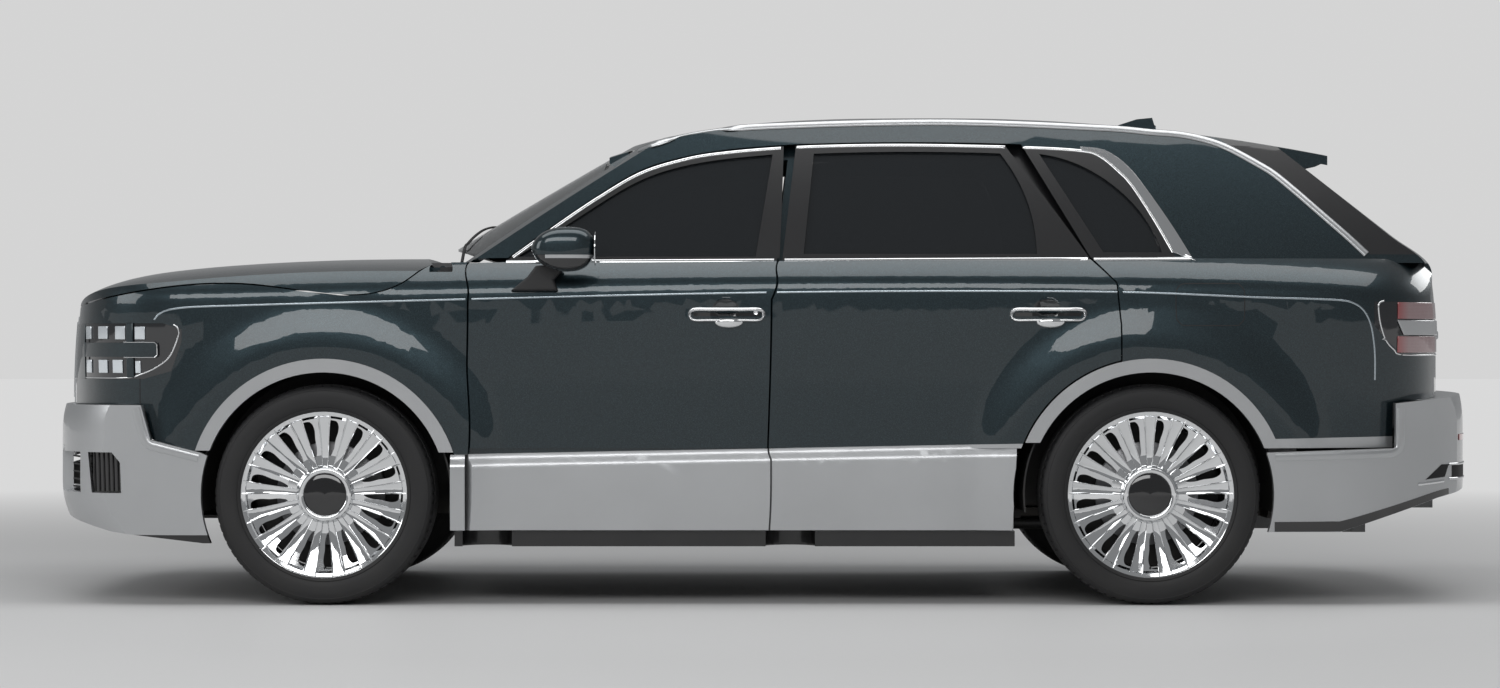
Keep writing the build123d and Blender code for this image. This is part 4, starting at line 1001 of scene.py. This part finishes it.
class CROSSOVER_OT_headlamps(bpy.types.Operator):
    """Split headlamps: lamp modules, painted blade, corner post and chrome bezel"""
    bl_idname = "crossover.headlamps"
    bl_label = "Headlamps"

    def execute(self, context):
        skin = Skin("headlamps", "front_fenders", "grille", "front_bumper")
        around = nose_cast(skin)
        paint = two_tone("Body paint", all_paint)

        def plate(name, spans, material, slot, height=0.004, columns=16, round_by=0.0015, low=0.0004):
            def make(bm):
                for start, stop, bottom, top in spans:
                    lay_panel(bm, [(start, bottom), (stop, bottom)], [(start, top), (stop, top)], around, low, height,
                              columns, 3)
            add_pair(name, make, material, "shell", finish_with=rounded(round_by, 2))

        plate("lamp_surround", ((-0.325, -0.075, 0.806, 1.005),), paint, "paint", 0.003, 24)
        plate("headlamp_blade", ((-0.072, 0.203, 0.886, 0.937),), paint, "paint", 0.014, 40, 0.004)
        plate("headlamp_post", ((0.108, 0.130, 0.812, 1.008),), paint, "paint", 0.009, 6, 0.003)
        plate("lamp_modules", (
            (-0.058, -0.022, 0.950, 0.996), (0.014, 0.046, 0.950, 0.996), (0.072, 0.104, 0.948, 0.996),
            (0.134, 0.165, 0.948, 0.994), (-0.058, -0.022, 0.828, 0.876), (0.014, 0.044, 0.828, 0.876),
            (0.062, 0.094, 0.828, 0.876), (0.134, 0.150, 0.828, 0.872)), led(), "lamp_glass", 0.005, 6)

        def bezel(bm):
            line = [(-0.072, 0.811), (0.100, 0.811), (0.150, 0.824), (0.196, 0.848), (0.238, 0.888), (0.2645, 0.962),
                    (0.262, 0.990), (0.250, 1.001)]
            lay_strip(bm, line, around, 0.005, 0.003, count=110)

        add_pair("headlamp_bezel", bezel, chrome(), "shell")

        def outline(bm):
            line = [(0.104, 0.9385), (0.196, 0.9385), (0.2035, 0.930), (0.2035, 0.893), (0.196, 0.8845),
                    (0.104, 0.8845)]
            for a, b in zip(line, line[1:]):
                found = [around(a[0] + (b[0] - a[0]) * i / 10, a[1] + (b[1] - a[1]) * i / 10) for i in range(11)]
                tube(bm, [p + n * 0.0125 for p, n in found], 0.0018, 8, (0, -1, 0))

        add_pair("headlamp_outline", outline, chrome(), "shell")

        def seam(bm):
            lay_strip(bm, [(-2.226, 0.808), (-2.226, 0.716)], skin.side, 0.0035, 0.0006, count=12)

        add_pair("corner_seam", seam, rubber(), "shell")
        return {"FINISHED"}


class CROSSOVER_OT_grille(bpy.types.Operator):
    """Upright grille bars with their frame edge"""
    bl_idname = "crossover.grille"
    bl_label = "Grille"

    def execute(self, context):
        skin = Skin("grille")

        def bars(bm):
            for i in range(-13, 14):
                y = i * 0.0295
                low, high = skin.front(y, 0.731)[0].x, skin.front(y, 1.017)[0].x
                for z0, z1 in ((0.744, 1.002),):
                    verts = add_box(bm, (low - 0.001, y - 0.0045, z0), (low + 0.034, y + 0.0045, z1), 0.002)
                    for vert in bm.verts:
                        if vert.is_valid and abs(vert.co.y - y) < 0.006:
                            vert.co.x += (high - low) * (vert.co.z - z0) / (z1 - z0)

        add_piece("grille_bars", fill(bars), chrome(), "shell", 40)

        def rails(bm):
            for z in (0.738, 1.010):
                lay_strip(bm, [(-0.41, z), (0.41, z)], skin.front, 0.009, 0.004, count=30)
            for y in (-0.414, 0.414):
                lay_strip(bm, [(y, 0.736), (y, 1.012)], skin.front, 0.009, 0.004, count=20)

        add_piece("grille_edge", fill(rails), chrome(), "shell")
        return {"FINISHED"}


def fill(make):
    bm = bmesh.new()
    make(bm)
    return bm


class CROSSOVER_OT_bumpers(bpy.types.Operator):
    """Intakes, lower edges, plates, sensors, reflectors and exhaust finishers"""
    bl_idname = "crossover.bumpers"
    bl_label = "Bumper details"

    def execute(self, context):
        front = Skin("front_bumper")
        rear = Skin("rear_bumper", "tailgate", "tail_lamps", "side_frames")
        dark = gloss_black()

        def intake(bm):
            add_box(bm, (-2.466, -0.766, 0.402), (-2.460, -0.652, 0.543))
            add_box(bm, (-2.461, -0.766, 0.402), (-2.400, -0.760, 0.543))
            add_box(bm, (-2.404, -0.868, 0.402), (-2.398, -0.761, 0.543))
            add_box(bm, (-2.400, -0.884, 0.400), (-2.262, -0.878, 0.547))

        add_pair("side_intake", intake, dark, "shell")

        def slats(bm):
            for i in range(8):
                x = -2.408 + 0.0165 * i
                tube(bm, [(x, -0.890, 0.404), (x - 0.004, -0.890, 0.543)], 0.0028, 8, (0, -1, 0))
            for i in range(5):
                tube(bm, [(-2.512, -0.66, 0.415 + 0.0275 * i), (-2.473, -0.760, 0.415 + 0.0275 * i),
                          (-2.410, -0.852, 0.415 + 0.0275 * i)], 0.0035, 8)

        add_pair("side_intake_slats", slats, plastic(), "shell")
        add_piece("lower_intake", fill(lambda bm: add_box(bm, (-2.487, -0.558, 0.402), (-2.4805, 0.558, 0.518))), dark,
                  "shell")

        def lines(bm):
            for z in (0.425, 0.448, 0.471, 0.494):
                points = [(-2.562 + 0.06 * (abs(y) / 0.75) ** 2.6, y, z) for y in [-0.55 + 0.05 * i for i in range(23)]]
                tube(bm, points, 0.005, 8)

        add_piece("lower_intake_bars", fill(lines), satin(), "shell")

        def plate(bm, skin_x, z):
            add_box(bm, (skin_x - 0.004, -0.26, z - 0.056), (skin_x + 0.004, 0.26, z + 0.056), 0.0015)

        white = finish("Blank plate", (0.72, 0.72, 0.70), 0.35, vary=0.03)
        x = min(front.front(y, 0.61)[0].x for y in (-0.26, 0.0, 0.26))
        add_piece("front_plate", fill(lambda bm: plate(bm, x - 0.001, 0.61)), white, "shell")
        gate = Skin("tailgate")
        x = max(gate.back(y, 0.86)[0].x for y in (-0.26, 0.0, 0.26))
        add_piece("rear_plate", fill(lambda bm: plate(bm, x + 0.001, 0.86)), white, "tailgate")

        def edge(bm):
            lay_panel(bm, REAR_LIP, LIP_TOP, rear.shade, 0.0002, 0.0014, 60, 3)

        add_pair("rear_lower_edge", edge, dark, "shell")

        def reflector(bm):
            lay_panel(bm, [(-0.80, 0.585), (-0.62, 0.585)], [(-0.80, 0.607), (-0.62, 0.607)], rear.back, 0.0004, 0.003,
                      16, 2)

        red = finish("Red lens", (0.32, 0.012, 0.012), 0.08, coat=1.0)
        add_pair("rear_reflector", reflector, red, "shell", finish_with=rounded(0.001))

        outlet = [(2.375, 0.447), (2.453, 0.455), (2.470, 0.500), (2.440, 0.500)]

        def mouth(bm):
            lay_panel(bm, [outlet[0], outlet[1]], [outlet[3], outlet[2]], rear.side, 0.0004, 0.0014, 12, 4)
            lay_panel(bm, [(-0.845, 0.452), (-0.52, 0.452)], [(-0.845, 0.496), (-0.52, 0.496)], rear.back, 0.0004,
                      0.0014, 20, 3)

        add_pair("exhaust_mouth", mouth, rubber(), "shell")

        def finisher(bm):
            lay_strip(bm, [(2.345, 0.430), (2.390, 0.434), (2.448, 0.440)], rear.side, 0.012, 0.004, count=16)
            for z in (0.448, 0.500):
                lay_strip(bm, [(-0.86, z), (-0.51, z)], rear.back, 0.009, 0.005, count=20)

        add_pair("exhaust_finisher", finisher, chrome(), "shell")

        def bar(bm):
            lay_strip(bm, [(-0.56, 0.965), (0.56, 0.965)], gate.back, 0.034, 0.010, count=40, flat=0.6)

        add_piece("tailgate_bar", fill(bar), chrome(), "tailgate")

        def sensors(bm):
            for y in (-0.70, -0.35, 0.35, 0.70):
                point, normal = front.front(y, 0.555)
                bmesh.ops.create_cone(bm, cap_ends=True, segments=20, radius1=0.011, radius2=0.010, depth=0.003,
                                      matrix=Matrix.Translation(point + normal * 0.0008)
                                      @ normal.to_track_quat("Z", "Y").to_matrix().to_4x4())

        add_piece("parking_sensors", fill(sensors), satin(), "shell")
        return {"FINISHED"}


def lamp_smoke():
    """Smoked lens: red beside the black part, paler towards the corner."""
    name = "Smoked lens"
    if name in bpy.data.materials:
        return bpy.data.materials[name]
    made = bpy.data.materials.new(name)
    made.use_nodes = True
    maker = Maker(made.node_tree)
    shader = made.node_tree.nodes["Principled BSDF"]
    place = maker.place()
    share = maker.ramp(maker.split(place)["X"], 2.262, 2.325)
    base = maker.mix(share, (0.24, 0.006, 0.008, 1), (0.24, 0.215, 0.22, 1))
    ribs = maker.node("ShaderNodeTexWave", bands_direction="Z")
    maker.put(ribs.inputs["Vector"], place)
    ribs.inputs["Scale"].default_value = 60.0
    maker.put(shader.inputs["Base Color"], maker.mix(maker.math("MULTIPLY", ribs.outputs["Fac"], 0.18), base,
                                                     (0.05, 0.02, 0.02, 1)))
    shader.inputs["Roughness"].default_value = 0.12
    shader.inputs["Coat Weight"].default_value = 1.0
    shader.inputs["Emission Color"].default_value = (0.30, 0.010, 0.010, 1)
    shader.inputs["Emission Strength"].default_value = 0.12
    return made


class CROSSOVER_OT_tail_lamps(bpy.types.Operator):
    """Red tail-lamp modules with the silver bar between them"""
    bl_idname = "crossover.tail_lamps"
    bl_label = "Tail lamps"

    def execute(self, context):
        skin = Skin("tail_lamps", "side_frames", "rear_bumper")
        around = tail_cast(skin)
        smoke = lamp_smoke()

        def modules(bm):
            for low, high in ((1.022, 1.082), (0.901, 0.960)):
                lay_panel(bm, [(-0.115, low), (0.140, low)], [(-0.115, high), (0.140, high)], around, 0.0004, 0.004,
                          50, 4)

        add_pair("tail_lens", modules, smoke, "shell", finish_with=rounded(0.002, 2))

        def bar(bm):
            lay_panel(bm, [(-0.092, 0.964), (0.140, 0.964)], [(-0.118, 1.018), (0.140, 1.018)], around, 0.0004, 0.007,
                      50, 4)

        add_pair("tail_bar", bar, satin(), "shell", finish_with=rounded(0.003, 3))

        def rim(bm):
            line = [(0.140, 0.893), (-0.088, 0.893), (-0.128, 0.912), (-0.160, 0.946), (-0.180, 1.000), (-0.189, 1.060),
                    (-0.184, 1.080), (-0.168, 1.086)]
            lay_strip(bm, line, around, 0.006, 0.004, count=110)

        add_pair("tail_lamp_rim", rim, chrome(), "shell")
        return {"FINISHED"}


class CROSSOVER_OT_roof(bpy.types.Operator):
    """Aerial fin, spoiler ends and wipers"""
    bl_idname = "crossover.roof"
    bl_label = "Roof and wipers"

    def execute(self, context):
        roof = Skin("roof_panel")

        def fin(bm):
            places = []
            for i in range(14):
                t = i / 13
                x = 1.362 + 0.154 * t
                height = 0.004 + 0.036 * math.sin(math.pi / 2 * min(1.0, t * 1.25)) ** 1.3
                if t > 0.93:
                    height *= 0.86
                base = roof.top(x, 0.03)[0].z - 0.003
                place = Matrix(((0, 0, 1, x), (0.006 + 0.024 * t ** 0.5, 0, 0, 0), (0, height, 0, base), (0, 0, 0, 1)))
                places.append(place)
            add_strip(bm, [(-1, 0), (-0.8, 0.25), (-0.35, 0.75), (-0.12, 0.97), (0, 1), (0.12, 0.97), (0.35, 0.75),
                           (0.8, 0.25), (1, 0)], places)

        add_piece("aerial_fin", fill(fin), two_tone("Body paint", all_paint), "shell", 50)

        def spoiler_end(bm):
            outline = [(1.900, 1.636), (2.066, 1.610), (2.070, 1.600), (2.030, 1.582), (1.985, 1.572), (1.930, 1.596)]
            verts = [bm.verts.new((x, -0.611, z)) for x, z in outline]
            face = bm.faces.new(verts)
            grown = bmesh.ops.extrude_face_region(bm, geom=[face])["geom"]
            bmesh.ops.translate(bm, vec=(0, 0.022, 0), verts=[v for v in grown if isinstance(v, bmesh.types.BMVert)])

        add_pair("spoiler_end", spoiler_end, two_tone("Body paint", all_paint), "tailgate",
                 finish_with=rounded(0.004, 3))
        screen = Skin("windscreen", "scuttle", "bonnet")

        def wipers(bm):
            for start, stop in (((-1.10, -0.60), (-1.02, 0.06)), ((-1.10, 0.10), (-1.02, 0.66))):
                points = []
                for i in range(13):
                    t = i / 12
                    x, y = start[0] + (stop[0] - start[0]) * t, start[1] + (stop[1] - start[1]) * t
                    points.append(screen.top(x, y)[0] + Vector((0, 0, 0.010 + 0.006 * math.sin(math.pi * t))))
                tube(bm, smooth_path(points, 3), 0.006, 8, (0, 0, 1), 0.7)

        add_piece("wipers", fill(wipers), rubber(), "shell")
        return {"FINISHED"}


# ---------------------------------------------------------------- cabin

def cushion(half, centre, tilt=None, taper=0.0, bolster=0.0, channels=(), cuts=30):
    """A crowned closed form of half sizes (length, width, thickness). Its sides pull in between the corners, a sewn
    groove runs round it, and channels are sewn across its middle. With a tilt it stands up and leans back."""
    long, wide, thick = half
    bm = bmesh.new()
    bmesh.ops.create_cube(bm, size=2.0)
    bmesh.ops.subdivide_edges(bm, edges=list(bm.edges), cuts=cuts, use_grid_fill=True)
    if tilt is None:
        axes = (Vector((1, 0, 0)), Vector((0, 1, 0)), Vector((0, 0, 1)))
    else:
        lean = math.radians(tilt)
        axes = (Vector((math.sin(lean), 0, math.cos(lean))), Vector((0, 1, 0)),
                Vector((-math.cos(lean), 0, math.sin(lean))))
    for vert in bm.verts:
        a, b, c = vert.co
        swell = 0.62 + 0.38 * max(0.0, (1 - a ** 6) * (1 - b ** 6)) ** 0.45
        side = math.sqrt(1 - 0.2 * c * c) - 0.014 * math.exp(-((abs(c) - 0.72) / 0.07) ** 2)
        x = a * math.sqrt(1 - 0.16 * b * b) * (1 - 0.035 * (1 - b * b)) * side
        y = b * math.sqrt(1 - 0.16 * a * a) * (1 - 0.035 * (1 - a * a)) * side * (1 - taper * (0.5 + 0.5 * a))
        z = c * (swell if c > 0 else 0.92)
        if c > 0:
            inner = 1 / (1 + math.exp((abs(b) - 0.66) / 0.03))
            sewn = sum(math.exp(-((a - at) / 0.035) ** 2) for at in channels)
            z += c * (bolster * math.exp(-((abs(b) - 0.82) / 0.12) ** 2) - bolster * inner * 0.5 - 0.10 * inner * sewn)
        vert.co = Vector(centre) + axes[0] * x * long + axes[1] * y * wide + axes[2] * min(z, 1.0) * thick
    bmesh.ops.recalc_face_normals(bm, faces=bm.faces)
    return bm


class CROSSOVER_OT_cabin(bpy.types.Operator):
    """Leather seats with bolsters and sewn channels, their bases and head rest posts"""
    bl_idname = "crossover.cabin"
    bl_label = "Cabin"

    def pad(self, name, node, *shape, **form):
        piece = add_piece(name, cushion(*shape, **form), leather(), "shell", 60.0, (node,))

    def posts(self, name, node, foot, tilt):
        lean = math.radians(tilt)
        for side, sign in (("left", -1), ("right", 1)):
            bm = bmesh.new()
            for off in (-0.05, 0.05):
                at = Vector((foot[0], sign * 0.38 + off, foot[1]))
                tube(bm, [at, at + Vector((math.sin(lean), 0, math.cos(lean))) * 0.12], 0.006)
            add_piece(f"{name}_{side}", bm, satin(), "shell", 40.0, (node,))

    def execute(self, context):
        for side, sign in (("left", -1), ("right", 1)):
            y = sign * 0.38
            self.pad(f"front_cushion_{side}", "front_seats", (0.25, 0.255, 0.06), (-0.08, y, 0.58),
                     bolster=0.3, channels=(-0.45, -0.05, 0.35))
            self.pad(f"front_backrest_{side}", "front_seats", (0.31, 0.25, 0.06), (0.19, y, 0.905), tilt=16,
                     bolster=0.35, channels=(-0.45, -0.1, 0.25, 0.6))
            self.pad(f"front_head_rest_{side}", "front_seats", (0.085, 0.13, 0.045), (0.28, y, 1.27), tilt=16, cuts=18)
            self.pad(f"rear_head_rest_{side}", "rear_seat", (0.08, 0.13, 0.04), (1.24, y, 1.27), tilt=20, cuts=18)
            bm = bmesh.new()
            add_box(bm, (-0.28, y - 0.2, 0.33), (0.13, y + 0.2, 0.524), 0.015)
            add_piece(f"front_seat_base_{side}", bm, plastic(), "shell", 40.0, ("front_seats",))
        self.pad("rear_cushion", "rear_seat", (0.245, 0.59, 0.065), (0.845, 0, 0.585), taper=0.08,
                 bolster=0.2, channels=(-0.45, -0.05, 0.35), cuts=40)
        self.pad("rear_backrest", "rear_seat", (0.30, 0.55, 0.065), (1.13, 0, 0.905), tilt=20,
                 bolster=0.2, channels=(-0.45, -0.1, 0.25, 0.6), cuts=40)
        bm = bmesh.new()
        add_box(bm, (0.64, -0.6, 0.331), (0.88, 0.6, 0.524), 0.015)
        add_box(bm, (0.87, -0.55, 0.331), (1.07, 0.55, 0.524), 0.015)
        add_piece("rear_seat_base", bm, plastic(), "shell", 40.0, ("rear_seat",))
        self.posts("front_posts", "front_seats", (0.255, 1.14), 16)
        self.posts("rear_posts", "rear_seat", (1.205, 1.14), 20)
        return {"FINISHED"}


class CROSSOVER_OT_stage(bpy.types.Operator):
    """Floor, backdrop, lamps and camera"""
    bl_idname = "crossover.stage"
    bl_label = "Stage"

    def execute(self, context):
        look = context.scene.crossover_look
        floor = bpy.data.materials.new("Studio floor")
        floor.use_nodes = True
        maker = Maker(floor.node_tree)
        shader = floor.node_tree.nodes["Principled BSDF"]
        shader.inputs["Base Color"].default_value = colour(look.floor)
        shader.inputs["Roughness"].default_value = 0.55
        shader.inputs["Specular IOR Level"].default_value = 0.2
        reach = maker.node("ShaderNodeVectorMath")
        reach.operation = "LENGTH"
        maker.put(reach.inputs[0], maker.node("ShaderNodeTexCoord").outputs["Object"])
        fade = maker.node("ShaderNodeMapRange")
        fade.inputs["From Min"].default_value, fade.inputs["From Max"].default_value = 3.2, 10.0
        maker.put(fade.inputs["Value"], reach.outputs["Value"])
        maker.put(shader.inputs["Base Color"], maker.mix(fade.outputs[0], colour(look.floor), (0, 0, 0, 1)))
        shader.inputs["Emission Color"].default_value = BACKGROUND
        maker.put(shader.inputs["Emission Strength"], fade.outputs[0])
        bm = bmesh.new()
        bmesh.ops.create_grid(bm, x_segments=1, y_segments=1, size=80.0)
        mesh = bpy.data.meshes.new("studio")
        bm.to_mesh(mesh)
        bm.free()
        studio = bpy.data.objects.new("studio", mesh)
        context.scene.collection.objects.link(studio)
        mesh.materials.append(floor)
        for name, place, target, size, power in (
                ("overhead", (0.0, -1.2, 5.2), (0, -0.2, 0), (9.0, 3.0), 200),
                ("camera_side", (-1.5, -8.5, 4.6), (0, 0, 0.7), (8.0, 2.4), 245),
                ("front_left", (-7.5, -3.5, 3.2), (-1.5, 0, 0.7), (3.0, 3.0), 85),
                ("rear_right", (7.0, 3.5, 4.0), (1.0, 0, 0.9), (4.0, 2.0), 85)):
            data = bpy.data.lights.new(name, "AREA")
            data.shape = "RECTANGLE"
            data.size, data.size_y = size
            data.energy = power
            lamp = bpy.data.objects.new(name, data)
            lamp.location = place
            lamp.rotation_euler = (Vector(target) - Vector(place)).to_track_quat("-Z", "Y").to_euler()
            context.scene.collection.objects.link(lamp)
        world = bpy.data.worlds.new("Studio light")
        context.scene.world = world
        world.use_nodes = True
        maker = Maker(world.node_tree)
        back = world.node_tree.nodes["Background"]
        path = maker.node("ShaderNodeLightPath").outputs
        seen = maker.math("MAXIMUM", path["Is Camera Ray"], path["Is Transmission Ray"])
        maker.put(back.inputs["Color"], maker.mix(seen, (0.24, 0.245, 0.25, 1), BACKGROUND))
        data = bpy.data.cameras.new("camera")
        data.sensor_width = 36
        data.lens = 84.3
        data.clip_end = 200
        camera = bpy.data.objects.new("camera", data)
        camera.location = (-0.0425, -13.495, 0.932)
        camera.rotation_euler = (math.radians(90), 0, 0)
        context.scene.collection.objects.link(camera)
        context.scene.camera = camera
        context.scene.view_settings.view_transform = "Standard"
        return {"FINISHED"}


class CROSSOVER_PT_panel(bpy.types.Panel):
    """Shows the crossover's colours, sizes and building steps"""
    bl_idname = "CROSSOVER_PT_panel"
    bl_label = "Crossover"
    bl_space_type = "VIEW_3D"
    bl_region_type = "UI"
    bl_category = "Crossover"

    def draw(self, context):
        look, sizes = context.scene.crossover_look, context.scene.crossover_sizes
        for holder in (look, sizes):
            for key in holder.__annotations__:
                self.layout.prop(holder, key)
        for operator in OPERATORS:
            self.layout.operator(operator.bl_idname)


OPERATORS = (CROSSOVER_OT_finishes, CROSSOVER_OT_trim, CROSSOVER_OT_handles, CROSSOVER_OT_wheels,
             CROSSOVER_OT_mirrors, CROSSOVER_OT_headlamps, CROSSOVER_OT_grille, CROSSOVER_OT_bumpers,
             CROSSOVER_OT_tail_lamps, CROSSOVER_OT_roof, CROSSOVER_OT_cabin, CROSSOVER_OT_stage)
CLASSES = (CrossoverLook, CrossoverSizes) + OPERATORS + (CROSSOVER_PT_panel,)


def register():
    for made in CLASSES:
        bpy.utils.register_class(made)
    bpy.types.Scene.crossover_look = bpy.props.PointerProperty(type=CrossoverLook)
    bpy.types.Scene.crossover_sizes = bpy.props.PointerProperty(type=CrossoverSizes)


def unregister():
    del bpy.types.Scene.crossover_sizes
    del bpy.types.Scene.crossover_look
    for made in reversed(CLASSES):
        bpy.utils.unregister_class(made)


def main():
    register()
    bpy.ops.crossover.finishes()
    bpy.ops.crossover.trim()
    bpy.ops.crossover.handles()
    bpy.ops.crossover.wheels()
    bpy.ops.crossover.mirrors()
    bpy.ops.crossover.headlamps()
    bpy.ops.crossover.grille()
    bpy.ops.crossover.bumpers()
    bpy.ops.crossover.tail_lamps()
    bpy.ops.crossover.roof()
    bpy.ops.crossover.cabin()
    bpy.ops.crossover.stage()


if __name__ == "__main__":
    main()
